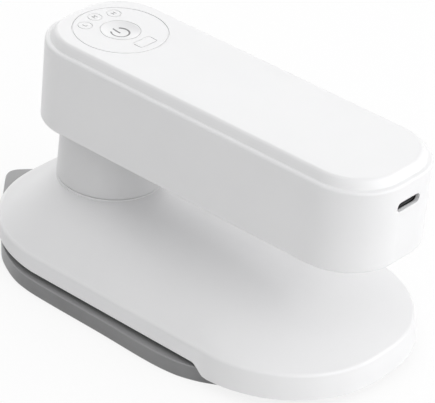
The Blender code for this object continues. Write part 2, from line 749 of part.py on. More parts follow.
def make_water_tank():
    floor_z = FRAME_TOP_Z + 2 * CLEARANCE + TANK_FLOOR
    middle = (TANK_FRONT + TANK_REAR) / 2
    shape = bmesh.new()
    bmesh.ops.create_grid(shape, x_segments=TANK_STEPS, y_segments=TANK_STEPS, size=0.5)
    for vert in shape.verts:
        x = middle + vert.co.x * (TANK_REAR - TANK_FRONT)
        y = vert.co.y * 2 * TANK_HALF_WIDTH
        vert.co = (x, y, tank_top(x, y))
    border = [edge for edge in shape.edges if edge.is_boundary]
    walls = bmesh.ops.extrude_edge_only(shape, edges=border)["geom"]
    for item in walls:
        if isinstance(item, bmesh.types.BMVert):
            item.co.z = floor_z
    bmesh.ops.recalc_face_normals(shape, faces=shape.faces)
    mesh = bpy.data.meshes.new("water_tank")
    shape.to_mesh(mesh)
    shape.free()
    tank = add("water_tank", mesh, base_pivot, CLEAR_TANK)
    shell = tank.modifiers.new("wall", "SOLIDIFY")
    shell.thickness = TANK_WALL
    shell.offset = -1.0
    shell.use_even_offset = True
    hole = rod("tank_mouth", FILLER_STEM_RADIUS + CLEARANCE, -2 * FILLER_STEM_LENGTH,
               3 * FILLER_STEM_LENGTH, filler_pivot, None, MIDDLE_STEPS)
    boolean(tank, hole)
    outlet = rod("tank_outlet", HOSE_RADIUS + CLEARANCE, -OVERRUN, 2 * OVERRUN, base_pivot, None,
                 SMALL_STEPS, (TANK_FRONT, pump_end_y(1) + 3 * HOSE_RADIUS, OUTLET_Z),
                 (0.0, math.pi / 2, 0.0))
    boolean(tank, outlet)
    loop = rounded_box((TANK_FRONT, -TANK_HALF_WIDTH), (TANK_REAR, TANK_HALF_WIDTH),
                       TANK_WALL, CORNER_STEPS)
    plate("tank_floor", [loop], FRAME_TOP_Z + CLEARANCE, TANK_FLOOR, base_pivot, CLEAR_TANK)


def pump_end_y(side):
    return side * (PUMP_LENGTH / 2 + CLEARANCE)


def make_pump():
    head = PUMP_LENGTH / 3
    half = PUMP_LENGTH / 2
    profile = [(0.0, half), (PUMP_RADIUS, half), (PUMP_RADIUS, half - head),
               (MOTOR_RADIUS, half - head), (MOTOR_RADIUS, -half), (0.0, -half)]
    turned("water_pump", profile, base_pivot, DARK, MIDDLE_STEPS, (PUMP_X, 0.0, PUMP_Z),
           (-math.pi / 2, 0.0, 0.0))


def smooth_path(knots):
    points = []
    padded = [knots[0]] + list(knots) + [knots[-1]]
    for index in range(len(knots) - 1):
        a, b, c, d = (Vector(place) for place in padded[index:index + 4])
        points += [tuple(bend(a, b, c, d, step / HOSE_STEPS)) for step in range(HOSE_STEPS)]
    points.append(tuple(knots[-1]))
    return points


def make_hoses():
    near = pump_end_y(1)
    turn = 3 * HOSE_RADIUS
    inlet = [(PUMP_X, near, PUMP_Z), (PUMP_X, near + turn - HOSE_RADIUS / 2, PUMP_Z),
             (PUMP_X + turn / 2, near + turn, OUTLET_Z),
             (TANK_FRONT + TANK_WALL, near + turn, OUTLET_Z)]
    tube("tank_hose", smooth_path(inlet), HOSE_RADIUS, base_pivot, RUBBER)
    far = pump_end_y(-1)
    inlet_x, inlet_y = hose_inlet()
    top = LID_TOP_Z + CLEARANCE
    rise = top + 3 * HOSE_RADIUS
    outlet = [(PUMP_X, far, PUMP_Z), (PUMP_X, far - turn, PUMP_Z),
              (PUMP_X - turn, far - turn / 2, rise), (inlet_x, inlet_y - turn, rise),
              (inlet_x, inlet_y, rise - HOSE_RADIUS), (inlet_x, inlet_y, top)]
    tube("chamber_hose", smooth_path(outlet), HOSE_RADIUS, base_pivot, RUBBER)


# Swivel

SOCKET_Z = COLLAR_Z - COVER_WALL - CLEARANCE - SOCKET_DEPTH
WASHER_Z = SOCKET_Z - CLEARANCE - WASHER_THICKNESS
CLIP_Z = WASHER_Z - CLEARANCE - CLIP_THICKNESS
SPINDLE_END_Z = CLIP_Z - 3 * CLEARANCE


def make_swivel():
    bore = SPINDLE_RADIUS + CLEARANCE
    outer = bore + SOCKET_WIDTH
    ring("swivel_socket", outer, bore, SOCKET_Z, SOCKET_DEPTH, base_pivot, DARK)
    ring("swivel_washer", outer - CLEARANCE, bore, WASHER_Z, WASHER_THICKNESS, base_pivot,
         STEEL)
    groove = SPINDLE_RADIUS - CLIP_GRIP
    clip = ring("retaining_clip", outer - 2 * CLEARANCE, groove + CLEARANCE, CLIP_Z,
                CLIP_THICKNESS, handle_pivot, STEEL)
    gap = box("clip_gap", (outer, SPINDLE_RADIUS, 3 * CLIP_THICKNESS),
              (-outer, 0.0, CLIP_Z), handle_pivot, None)
    boolean(clip, gap)


def make_neck():
    top = HANDLE_Z - CLEARANCE
    floor = NECK_Z + NECK_WALL
    inside = NECK_TOP_RADIUS - NECK_WALL
    groove = SPINDLE_RADIUS - CLIP_GRIP
    spindle_bore = SPINDLE_RADIUS - SPINDLE_WALL
    groove_top = CLIP_Z + CLIP_THICKNESS + CLEARANCE
    groove_bottom = CLIP_Z - CLEARANCE
    profile = [(NECK_TOP_RADIUS, top), (NECK_FOOT_RADIUS, NECK_Z), (SPINDLE_RADIUS, NECK_Z),
               (SPINDLE_RADIUS, groove_top), (groove, groove_top), (groove, groove_bottom),
               (SPINDLE_RADIUS, groove_bottom), (SPINDLE_RADIUS, SPINDLE_END_Z),
               (spindle_bore, SPINDLE_END_Z), (spindle_bore, floor), (inside, floor),
               (inside, top)]
    neck = turned("neck_column", profile, handle_pivot, WHITE, FINE_STEPS, closed=True)
    for index, (x, y) in enumerate(boss_places()):
        boss = rod("neck_boss_%d" % (index + 1), BOSS_RADIUS, floor - NECK_WALL / 2,
                   top - floor + NECK_WALL / 2, handle_pivot, None, SMALL_STEPS, (x, y, 0.0))
        boolean(neck, boss, "UNION")
        thread = rod("neck_thread_%d" % (index + 1), SCREW_RADIUS + CLEARANCE,
                     top - SCREW_BITE - CLEARANCE, SCREW_BITE + OVERRUN, handle_pivot, None,
                     TINY_STEPS, (x, y, 0.0))
        boolean(neck, thread)
    return neck


def boss_places():
    spread = [BOSS_START_ANGLE + math.pi / 2 * index for index in range(4)]
    return [(BOSS_CIRCLE * math.cos(a), BOSS_CIRCLE * math.sin(a)) for a in spread]


# Handle

def make_handle_shell():
    shell = plate("handle_shell", [handle_loop(0.0)], HANDLE_Z, HANDLE_HEIGHT, handle_pivot, WHITE)
    widths = {-HANDLE_HEIGHT / 2: HANDLE_FOOT_ROUND, HANDLE_HEIGHT / 2: HANDLE_LIP_ROUND}
    round_corners(shell, handle_loop(0.0), widths, CORNER_STEPS)
    cavity = plate("handle_cavity", [handle_loop(HANDLE_WALL)], HANDLE_FLOOR_Z,
                   HANDLE_HEIGHT, handle_pivot, None)
    boolean(shell, cavity)
    seat_z = COVER_Z - CLEARANCE
    seat = plate("cover_seat", [handle_loop(HANDLE_LIP)], seat_z, HANDLE_HEIGHT, handle_pivot,
                 None)
    boolean(shell, seat)
    lead_hole = rod("lead_hole", SPINDLE_RADIUS - SPINDLE_WALL, HANDLE_Z - OVERRUN,
                    HANDLE_WALL + 2 * OVERRUN, handle_pivot, None, MIDDLE_STEPS)
    boolean(shell, lead_hole)
    for index, (x, y) in enumerate(boss_places()):
        hole = rod("floor_hole_%d" % (index + 1), SCREW_RADIUS + CLEARANCE, HANDLE_Z - OVERRUN,
                   HANDLE_WALL + 2 * OVERRUN, handle_pivot, None, TINY_STEPS, (x, y, 0.0))
        boolean(shell, hole)
    for index, side in enumerate((-1, 1)):
        place = (CHARGE_BOARD_X, side * CHARGE_BOARD_WIDTH / 3, 0.0)
        root = HANDLE_Z + HANDLE_WALL / 2
        pillar = rod("board_pillar_%d" % (index + 1), POST_RADIUS, root,
                     CHARGE_BOARD_Z - CLEARANCE - root, handle_pivot, None, SMALL_STEPS, place)
        boolean(shell, pillar, "UNION")
    boolean(shell, make_port_slot())
    return shell


def port_loop(grow):
    half_width = PORT_WIDTH / 2 + grow
    half_height = PORT_HEIGHT / 2 + grow
    return rounded_box((-half_height, -half_width), (half_height, half_width),
                       half_height * PORT_ROUND_SHARE, HOSE_STEPS)


def make_port_slot():
    depth = HANDLE_WALL + 2 * OVERRUN
    place = (HANDLE_REAR_REACH - HANDLE_WALL / 2, 0.0, PORT_Z)
    return plate("port_slot", [port_loop(CLEARANCE)], 0.0, depth, handle_pivot, None,
                 (0.0, math.pi / 2, 0.0), place)


def make_port():
    front = HANDLE_REAR_REACH - PORT_RECESS
    place = (front - PORT_DEPTH / 2, 0.0, PORT_Z)
    side = (0.0, math.pi / 2, 0.0)
    port = plate("charging_port", [port_loop(0.0)], 0.0, PORT_DEPTH, handle_pivot, STEEL, side,
                 place)
    pocket_place = (front - PORT_DEPTH / 2 + 2 * PORT_WALL, 0.0, PORT_Z)
    pocket = plate("port_pocket", [port_loop(-PORT_WALL)], 0.0, PORT_DEPTH, handle_pivot, None,
                   side, pocket_place)
    boolean(port, pocket)
    length = PORT_DEPTH - TONGUE_RECESS - PORT_WALL
    centre = (front - TONGUE_RECESS - length / 2, 0.0, PORT_Z)
    tongue = box("port_tongue", (length, TONGUE_WIDTH, TONGUE_THICKNESS), centre, handle_pivot,
                 None)
    boolean(port, tongue, "UNION")


def make_charge_board():
    size = (CHARGE_BOARD_LENGTH, CHARGE_BOARD_WIDTH, BOARD_THICKNESS)
    centre = (CHARGE_BOARD_X, 0.0, CHARGE_BOARD_Z + BOARD_THICKNESS / 2)
    box("charge_board", size, centre, handle_pivot, BOARD)


def window_loop(grow):
    half_x = WINDOW_WIDTH / 2 + grow
    half_y = WINDOW_LENGTH / 2 + grow
    low = (WINDOW_REACH - half_x, -half_y)
    high = (WINDOW_REACH + half_x, half_y)
    return rounded_box(low, high, WINDOW_CORNER, CORNER_STEPS)


def lens_places():
    angles = [LENS_MIDDLE_ANGLE + LENS_SPACING_ANGLE * index for index in (-1, 0, 1)]
    return [(LENS_CIRCLE * math.cos(a), LENS_CIRCLE * math.sin(a)) for a in angles]


def make_top_cover():
    thickness = TOP_Z - COVER_Z
    outline = handle_loop(HANDLE_LIP + CLEARANCE)
    cover = plate("top_cover", [outline], COVER_Z, thickness, handle_pivot, WHITE)
    round_corners(cover, outline, {thickness / 2: COVER_ROUND}, CORNER_STEPS)
    holes = plate("cover_holes", control_loops(), COVER_Z - OVERRUN, thickness + 2 * OVERRUN,
                  handle_pivot, None)
    boolean(cover, holes)
    edge = circle(PANEL_RADIUS + GROOVE / 2, steps=FINE_STEPS)
    recess = plate("panel_recess", [edge], TOP_Z - PANEL_THICKNESS - CLEARANCE,
                   PANEL_THICKNESS + OVERRUN, handle_pivot, None)
    boolean(cover, recess)
    top = BOARD_Z + BOARD_THICKNESS + CLEARANCE
    for index, (x, y) in enumerate(post_places()):
        post = rod("board_post_%d" % (index + 1), POST_RADIUS, top,
                   COVER_Z + COVER_DEPTH - top, handle_pivot, None, SMALL_STEPS, (x, y, 0.0))
        boolean(cover, post, "UNION")
    return cover


def post_places():
    return [(0.0, POST_CIRCLE), (0.0, -POST_CIRCLE)]


# Openings for the button, the window and the lenses
def control_loops():
    loops = [circle(BUTTON_RADIUS + GROOVE, steps=MIDDLE_STEPS), window_loop(CLEARANCE)]
    return loops + [circle(LENS_RADIUS + CLEARANCE, place) for place in lens_places()]


def make_control_panel():
    edge = circle(PANEL_RADIUS - GROOVE / 2, steps=FINE_STEPS)
    plate("control_panel", [edge] + control_loops(), TOP_Z - PANEL_THICKNESS, PANEL_THICKNESS,
          handle_pivot, WHITE)


def make_lights():
    bottom = BOARD_Z + BOARD_THICKNESS + CLEARANCE
    for index, (x, y) in enumerate(lens_places()):
        rod("indicator_lens_%d" % (index + 1), LENS_RADIUS, bottom, TOP_Z - bottom, handle_pivot,
            LENS, SMALL_STEPS, (x, y, 0.0))
    plate("display_window", [window_loop(0.0)], bottom, TOP_Z - bottom, handle_pivot, WINDOW)


def make_button():
    flange_top = COVER_Z - CLEARANCE
    flange_bottom = flange_top - BUTTON_FLANGE
    flange = BUTTON_RADIUS + BUTTON_FLANGE
    stem_end = SWITCH_Z + SWITCH_HEIGHT - SWITCH_HEIGHT / 4
    dish = [(BUTTON_RADIUS * share, TOP_Z - BUTTON_DISH * (1 - share ** 2))
            for share in DISH_SHARES]
    profile = dish + [(BUTTON_RADIUS, TOP_Z), (BUTTON_RADIUS, flange_top), (flange, flange_top),
                      (flange, flange_bottom), (STEM_RADIUS, flange_bottom),
                      (STEM_RADIUS, stem_end), (0.0, stem_end)]
    return turned("power_button", profile, button_pivot, WHITE, MIDDLE_STEPS)


def make_board():
    plate("control_board", [circle(BOARD_RADIUS, steps=ROUND_STEPS)], BOARD_Z, BOARD_THICKNESS,
          handle_pivot, BOARD)
    size = (SWITCH_SIZE, SWITCH_SIZE, SWITCH_HEIGHT)
    switch = box("tact_switch", size, (0.0, 0.0, SWITCH_Z + SWITCH_HEIGHT / 2), handle_pivot,
                 DARK)
    depth = SWITCH_HEIGHT / 4 + BUTTON_TRAVEL + CLEARANCE
    well = rod("switch_well", STEM_RADIUS + CLEARANCE, SWITCH_Z + SWITCH_HEIGHT - depth,
               depth + OVERRUN, handle_pivot, None)
    boolean(switch, well)


def make_battery():
    spacing = CELL_RADIUS + CLEARANCE / 2
    size = (CELL_LENGTH, 4 * CELL_RADIUS, CRADLE_HEIGHT)
    centre = (CELL_START + CELL_LENGTH / 2, 0.0, CRADLE_Z + CRADLE_HEIGHT / 2)
    cradle = box("battery_cradle", size, centre, handle_pivot, DARK)
    for index, side in enumerate((-1, 1)):
        place = (CELL_START, side * spacing, CELL_SEAT_Z + CELL_RADIUS)
        lying = (0.0, math.pi / 2, 0.0)
        body = CELL_LENGTH - CELL_CAP_HEIGHT
        profile = [(0.0, CELL_LENGTH), (CELL_CAP_RADIUS, CELL_LENGTH), (CELL_CAP_RADIUS, body),
                   (CELL_RADIUS, body), (CELL_RADIUS, 0.0), (0.0, 0.0)]
        turned("battery_cell_%d" % (index + 1), profile, handle_pivot, WRAP, MIDDLE_STEPS,
               place, lying)
        saddle = rod("cell_saddle_%d" % (index + 1), CELL_RADIUS + CLEARANCE, -OVERRUN,
                     CELL_LENGTH + 2 * OVERRUN, handle_pivot, None, MIDDLE_STEPS, place, lying)
        boolean(cradle, saddle)


def make_lead():
    bottom = LID_TOP_Z + TERMINAL_HEIGHT + 2 * CLEARANCE
    top = BOARD_Z - CLEARANCE
    rod("control_lead", LEAD_RADIUS, bottom, top - bottom, handle_pivot, DARK)


def make_handle_screws():
    for index, place in enumerate(boss_places()):
        screw("neck_screw_%d" % (index + 1), place, HANDLE_FLOOR_Z, HANDLE_WALL + SCREW_BITE,
              handle_pivot)


filler_pivot = make_filler_pivot()
make_soleplate()
make_chamber()
make_heating_element()
make_frame()
make_frame_screws()
make_sensors()
make_base_cover()
make_water_tank()
make_pump()
make_hoses()
make_filler_plug()
make_swivel()
make_neck()
make_handle_shell()
make_top_cover()
make_control_panel()
make_lights()
make_button()
make_board()
make_battery()
make_lead()
make_port()
make_charge_board()
make_handle_screws()
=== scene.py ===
import json
import math

import bpy
from mathutils import Matrix, Vector


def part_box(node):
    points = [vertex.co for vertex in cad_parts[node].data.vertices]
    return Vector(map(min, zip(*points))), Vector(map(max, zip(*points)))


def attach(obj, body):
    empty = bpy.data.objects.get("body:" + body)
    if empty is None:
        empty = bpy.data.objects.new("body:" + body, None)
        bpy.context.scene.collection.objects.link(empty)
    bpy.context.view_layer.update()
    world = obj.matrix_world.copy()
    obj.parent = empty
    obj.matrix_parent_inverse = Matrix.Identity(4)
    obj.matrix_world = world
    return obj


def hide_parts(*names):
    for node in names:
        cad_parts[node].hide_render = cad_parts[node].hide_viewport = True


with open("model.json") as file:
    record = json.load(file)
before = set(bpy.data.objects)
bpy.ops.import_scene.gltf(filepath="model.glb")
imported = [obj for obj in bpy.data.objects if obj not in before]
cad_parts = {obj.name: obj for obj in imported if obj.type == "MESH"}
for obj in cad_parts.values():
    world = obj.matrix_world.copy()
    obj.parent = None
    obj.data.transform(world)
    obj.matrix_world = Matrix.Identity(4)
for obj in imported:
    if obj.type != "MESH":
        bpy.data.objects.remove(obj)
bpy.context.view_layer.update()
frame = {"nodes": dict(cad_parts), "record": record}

mm = 0.001
overrun = 1 * mm  # how far a cutting tool passes the surface it cuts
scene = bpy.context.scene
cadNodes = dict(frame["nodes"])
neckLow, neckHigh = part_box("neck_column")
shellLow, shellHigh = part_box("handle_shell")
windowLow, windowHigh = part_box("display_window")
baseLow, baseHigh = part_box("base_cover")
soleLow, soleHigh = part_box("soleplate")
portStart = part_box("charging_port")[0].x
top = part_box("top_cover")[1].z
neckX = (neckLow.x + neckHigh.x) / 2
print("frame loaded:", len(cadNodes), "nodes")


# Camera

cameraView = {
    "azimuth": 37.90, "elevation": 31.19, "roll": 5.42,  # degrees
    "distance": 797.0 * mm, "left": 28.84 * mm, "below": 48.42 * mm,
    "lens": 223.1, "clipStart": 10 * mm,
}


def makeCamera():
    azimuth = math.radians(cameraView["azimuth"])
    elevation = math.radians(cameraView["elevation"])
    roll = math.radians(cameraView["roll"])
    back = Vector((math.sin(azimuth) * math.cos(elevation), -math.cos(azimuth) * math.cos(elevation),
                   math.sin(elevation)))
    level = Vector((math.cos(azimuth), math.sin(azimuth), 0))
    upright = back.cross(level)
    right = level * math.cos(roll) + upright * math.sin(roll)
    up = upright * math.cos(roll) - level * math.sin(roll)
    mark = Vector((neckX, 0, shellHigh.z))  # neck axis, level with the shell's top edge
    data = bpy.data.cameras.new("photoCamera")
    data.lens = cameraView["lens"]
    data.clip_start = cameraView["clipStart"]
    camera = bpy.data.objects.new("photoCamera", data)
    camera.matrix_world = Matrix((right, up, back)).transposed().to_4x4()
    camera.location = (mark + right * cameraView["left"] - up * cameraView["below"]
                       + back * cameraView["distance"])
    scene.collection.objects.link(camera)
    scene.camera = camera


makeCamera()
print("camera set")


# Modelling helpers

pickLimits = {"slack": 0.02 * mm, "fineSlack": 0.001 * mm, "cornerCosine": 0.8, "flatCosine": 0.9,
              "alongShare": 0.5, "upCosine": 0.5}


def nothingPicked():
    if bpy.context.object and bpy.context.object.mode != "OBJECT":
        bpy.ops.object.mode_set(mode="OBJECT")
    bpy.ops.object.select_all(action="DESELECT")


def activate(piece):
    nothingPicked()
    piece.select_set(True)
    bpy.context.view_layer.objects.active = piece


def named(name):
    piece = bpy.context.object
    piece.name = name
    piece.data.name = name
    return piece


def settle(piece):
    activate(piece)
    bpy.ops.object.transform_apply(location=True, rotation=True, scale=True)
    return piece


def pick(piece, kind, test):
    activate(piece)
    bpy.ops.object.mode_set(mode="EDIT")
    bpy.ops.mesh.select_mode(type=kind)
    bpy.ops.mesh.select_all(action="DESELECT")
    bpy.ops.object.mode_set(mode="OBJECT")
    mesh = piece.data
    items = {"VERT": mesh.vertices, "EDGE": mesh.edges, "FACE": mesh.polygons}[kind]
    for item in items:
        item.select = test(mesh, item)
    bpy.ops.object.mode_set(mode="EDIT")


def leaveEdit():
    bpy.ops.object.mode_set(mode="OBJECT")


def edgeEnds(mesh, edge):
    return [mesh.vertices[index].co for index in edge.vertices]


# Corner edges that lie level at a height
def cornerEdges(piece, z):
    sides = {}
    for face in piece.data.polygons:
        for key in face.edge_keys:
            sides.setdefault(key, []).append(face.normal.copy())

    def test(mesh, edge):
        normals = sides[tuple(sorted(edge.vertices))]
        corner = len(normals) == 2 and normals[0].dot(normals[1]) < pickLimits["cornerCosine"]
        return corner and all(abs(end.z - z) < pickLimits["slack"] for end in edgeEnds(mesh, edge))
    return test


# Edges that run along an axis: 0 for X, 2 for Z
def edgesAlong(axis):
    def test(mesh, edge):
        start, end = edgeEnds(mesh, edge)
        return abs(start[axis] - end[axis]) > pickLimits["alongShare"] * (end - start).length
    return test


def flatFaces(z, slack=pickLimits["slack"]):
    def test(mesh, face):
        return abs(face.center.z - z) < slack and abs(face.normal.z) > pickLimits["flatCosine"]
    return test


def everything(mesh, item):
    return True


def applyAll(piece):
    activate(piece)
    for step in list(piece.modifiers):
        bpy.ops.object.modifier_apply(modifier=step.name)
    return piece


def carve(piece, tool, way="DIFFERENCE"):
    step = piece.modifiers.new("carve", "BOOLEAN")
    step.operation = way
    step.solver = "EXACT"
    step.object = tool
    applyAll(piece)
    bpy.data.objects.remove(tool, do_unlink=True)
    return piece


def smoothed(piece, angle=35):
    activate(piece)
    bpy.ops.object.shade_smooth_by_angle(angle=math.radians(angle))
    step = piece.modifiers.new("flatFaces", "WEIGHTED_NORMAL")
    step.keep_sharp = True
    applyAll(piece)
    return piece


def addCylinder(name, radius, low, high, centre=(0, 0), sides=96):
    nothingPicked()
    place = (centre[0], centre[1], (low + high) / 2)
    bpy.ops.mesh.primitive_cylinder_add(vertices=sides, radius=radius, depth=high - low,
                                        location=place)
    return settle(named(name))


def addBlock(name, low, high):
    nothingPicked()
    size = [high[index] - low[index] for index in range(3)]
    centre = [(high[index] + low[index]) / 2 for index in range(3)]
    bpy.ops.mesh.primitive_cube_add(size=1, location=centre, scale=size)
    return settle(named(name))


def addBar(name, low, high, corner, steps):
    bar = addBlock(name, low, high)
    pick(bar, "EDGE", edgesAlong(2))
    bpy.ops.mesh.bevel(offset=corner, segments=steps, affect="EDGES")
    leaveEdit()
    return bar


def bevelLevel(piece, z, width, steps):
    pick(piece, "EDGE", cornerEdges(piece, z))
    bpy.ops.mesh.bevel(offset=width, segments=steps, affect="EDGES")
    leaveEdit()


def joined(pieces, name):
    nothingPicked()
    for piece in pieces:
        piece.select_set(True)
    bpy.context.view_layer.objects.active = pieces[0]
    bpy.ops.object.join()
    return named(name)


# Materials

def node(tree, kind, place=(0, 0), **values):
    made = tree.nodes.new(kind)
    made.location = place
    for key, value in values.items():
        setattr(made, key, value)
    return made


# The fade at the end of this list is the height over which the painted light on the sole's top face
# comes in
noiseLook = {"cloudDetail": 3, "cloudStart": 0.3, "cloudEnd": 0.7, "smearScale": 2.7, "smearDetail": 4,
             "grainDetail": 2, "grainHigh": 0.02 * mm, "paintedLightFade": 0.1 * mm}


def addNoise(tree, source, scale, detail, place):
    noise = node(tree, "ShaderNodeTexNoise", place)
    noise.inputs["Scale"].default_value = scale
    noise.inputs["Detail"].default_value = detail
    tree.links.new(source, noise.inputs["Vector"])
    return noise.outputs["Fac"]


# A lighter second colour above a height: painted light on the sole's top face, which lies in the
# skirt's shade
def addPaintedTopLight(tree, look, objectPlace, colour):
    split = node(tree, "ShaderNodeSeparateXYZ", (-850, 500))
    tree.links.new(objectPlace, split.inputs["Vector"])
    level = node(tree, "ShaderNodeMapRange", (-600, 500))
    level.inputs["From Min"].default_value = look["paintedLightAbove"]
    level.inputs["From Max"].default_value = look["paintedLightAbove"] + noiseLook["paintedLightFade"]
    tree.links.new(split.outputs["Z"], level.inputs["Value"])
    mix = node(tree, "ShaderNodeMix", (-300, 300), data_type="RGBA")
    tree.links.new(level.outputs["Result"], mix.inputs["Factor"])
    tree.links.new(colour, mix.inputs["A"])
    mix.inputs["B"].default_value = (*look["paintedLightColour"], 1)
    return mix.outputs["Result"]


def addColour(tree, look, objectPlace):
    cloud = addNoise(tree, objectPlace, look["cloudScale"], noiseLook["cloudDetail"], (-850, 250))
    ramp = node(tree, "ShaderNodeValToRGB", (-600, 250))
    shade, colour = ramp.color_ramp.elements
    shade.position = noiseLook["cloudStart"]
    colour.position = noiseLook["cloudEnd"]
    shade.color = (*look["shade"], 1)
    colour.color = (*look["colour"], 1)
    tree.links.new(cloud, ramp.inputs["Fac"])
    # Painted light on the sole's top face, above a set height
    if "paintedLightAbove" in look:
        return addPaintedTopLight(tree, look, objectPlace, ramp.outputs["Color"])
    return ramp.outputs["Color"]


def addRoughness(tree, look, objectPlace):
    smear = addNoise(tree, objectPlace, look["cloudScale"] * noiseLook["smearScale"],
                     noiseLook["smearDetail"], (-850, -50))
    span = node(tree, "ShaderNodeMapRange", (-600, -50))
    span.inputs["To Min"].default_value, span.inputs["To Max"].default_value = look["rough"]
    tree.links.new(smear, span.inputs["Value"])
    return span.outputs["Result"]


def addGrain(tree, look, objectPlace):
    stretch = node(tree, "ShaderNodeMapping", (-980, -350))
    stretch.inputs["Scale"].default_value = look.get("grainStretch", (1, 1, 1))
    tree.links.new(objectPlace, stretch.inputs["Vector"])
    grain = addNoise(tree, stretch.outputs["Vector"], look["grainScale"], noiseLook["grainDetail"],
                     (-850, -350))
    bump = node(tree, "ShaderNodeBump", (-350, -350))
    bump.inputs["Strength"].default_value = look["grain"]
    bump.inputs["Distance"].default_value = noiseLook["grainHigh"]
    tree.links.new(grain, bump.inputs["Height"])
    return bump.outputs["Normal"]


def makeFinish(look):
    finish = bpy.data.materials.new(look["name"])
    finish.use_nodes = True
    tree = finish.node_tree
    shader = tree.nodes["Principled BSDF"]
    shader.inputs["Metallic"].default_value = look.get("metal", 0)
    shader.inputs["IOR"].default_value = look.get("ior", 1.46)
    shader.inputs["Coat Weight"].default_value = look.get("coat", 0)
    shader.inputs["Coat Roughness"].default_value = look.get("coatRough", 0.2)
    objectPlace = node(tree, "ShaderNodeTexCoord", (-1100, 0)).outputs["Object"]
    tree.links.new(addColour(tree, look, objectPlace), shader.inputs["Base Color"])
    tree.links.new(addRoughness(tree, look, objectPlace), shader.inputs["Roughness"])
    tree.links.new(addGrain(tree, look, objectPlace), shader.inputs["Normal"])
    return finish


whiteLook = {"name": "whitePlastic", "colour": (0.76, 0.76, 0.765), "shade": (0.742, 0.742, 0.749),
             "cloudScale": 35, "rough": (0.32, 0.42), "grainScale": 5200, "grain": 0.12,
             "ior": 1.47}
# The neck is a darker copy of the white plastic: painted shade for the shadow under the handle
neckShadeLook = dict(whiteLook, name="neckPaintedShadePlastic", colour=(0.68, 0.68, 0.685), shade=(0.66, 0.66, 0.666))
# Above a set height the sole takes a lighter colour: painted light on its top face, against the skirt's
# shade
soleLook = {"name": "soleCoating", "colour": (0.225, 0.225, 0.228), "shade": (0.19, 0.19, 0.193),
            "cloudScale": 60, "rough": (0.34, 0.48), "grainScale": 4200, "grain": 0.25,
            "coat": 0.25, "coatRough": 0.3, "paintedLightAbove": 4.62 * mm, "paintedLightColour": (0.27, 0.27, 0.273)}
darkLook = {"name": "darkPlastic", "colour": (0.035, 0.035, 0.037), "shade": (0.022, 0.022, 0.024),
            "cloudScale": 80, "rough": (0.5, 0.65), "grainScale": 5000, "grain": 0.3}
steelLook = {"name": "platedSteel", "colour": (0.62, 0.62, 0.63), "shade": (0.5, 0.5, 0.52),
             "cloudScale": 120, "rough": (0.22, 0.38), "grainScale": 3000, "grain": 0.2, "metal": 1,
             "grainStretch": (1, 8, 8)}
castLook = {"name": "castAluminium", "colour": (0.62, 0.63, 0.64), "shade": (0.48, 0.49, 0.5),
            "cloudScale": 150, "rough": (0.45, 0.6), "grainScale": 2600, "grain": 0.6, "metal": 1}
rubberLook = {"name": "greySilicone", "colour": (0.58, 0.58, 0.59), "shade": (0.52, 0.52, 0.53),
              "cloudScale": 90, "rough": (0.55, 0.72), "grainScale": 4600, "grain": 0.2}
tankLook = {"name": "tankPlastic", "colour": (0.66, 0.72, 0.75), "shade": (0.58, 0.66, 0.7),
            "cloudScale": 70, "rough": (0.16, 0.3), "grainScale": 3800, "grain": 0.1}
boardLook = {"name": "circuitBoard", "colour": (0.03, 0.2, 0.08), "shade": (0.02, 0.13, 0.05),
             "cloudScale": 400, "rough": (0.3, 0.5), "grainScale": 5200, "grain": 0.4, "coat": 0.3}
wrapLook = {"name": "cellWrap", "colour": (0.05, 0.17, 0.4), "shade": (0.04, 0.13, 0.33),
            "cloudScale": 60, "rough": (0.25, 0.4), "grainScale": 2400, "grain": 0.2}
lensLook = {"name": "lightGuide", "colour": (0.75, 0.75, 0.755), "shade": (0.73, 0.73, 0.735),
            "cloudScale": 300, "rough": (0.2, 0.32), "grainScale": 5200, "grain": 0.1}
windowLook = {"name": "windowPane", "colour": (0.74, 0.74, 0.745), "shade": (0.72, 0.72, 0.725),
              "cloudScale": 200, "rough": (0.1, 0.2), "grainScale": 5200, "grain": 0.05}
inkLook = {"name": "greyInk", "colour": (0.2, 0.2, 0.205), "shade": (0.16, 0.16, 0.165),
           "cloudScale": 900, "rough": (0.4, 0.55), "grainScale": 5200, "grain": 0.1}
portLook = {"name": "portMetal", "colour": (0.42, 0.42, 0.43), "shade": (0.3, 0.3, 0.31),
            "cloudScale": 300, "rough": (0.25, 0.4), "grainScale": 4000, "grain": 0.2, "metal": 1}

white = makeFinish(whiteLook)
neckShadedWhite = makeFinish(neckShadeLook)
soleCoat = makeFinish(soleLook)
dark = makeFinish(darkLook)
steel = makeFinish(steelLook)
cast = makeFinish(castLook)
rubber = makeFinish(rubberLook)
tankPlastic = makeFinish(tankLook)
boardGreen = makeFinish(boardLook)
cellWrap = makeFinish(wrapLook)
lensClear = makeFinish(lensLook)
paneClear = makeFinish(windowLook)
ink = makeFinish(inkLook)
portMetal = makeFinish(portLook)

slotFinish = {
    "white_plastic": white, "sole_coating": soleCoat, "dark_plastic": dark, "steel": steel,
    "cast_aluminium": cast, "silicone": rubber, "tank_plastic": tankPlastic,
    "circuit_board": boardGreen, "cell_wrap": cellWrap, "lens": lensClear, "window": paneClear,
    "port_metal": portMetal,
}


def dressNodes():
    slots = {item["node"]: item["material_slot"] for item in frame["record"]["subparts"]}
    for name, item in cadNodes.items():
        item.data.materials.clear()
        item.data.materials.append(slotFinish[slots[name]])


dressNodes()
print("materials made")


def finishPiece(piece, material, body, slotName, *nodes):
    piece.data.materials.clear()
    piece.data.materials.append(material)
    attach(piece, body)
    if nodes:
        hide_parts(*nodes)
    return piece


# Handle shell

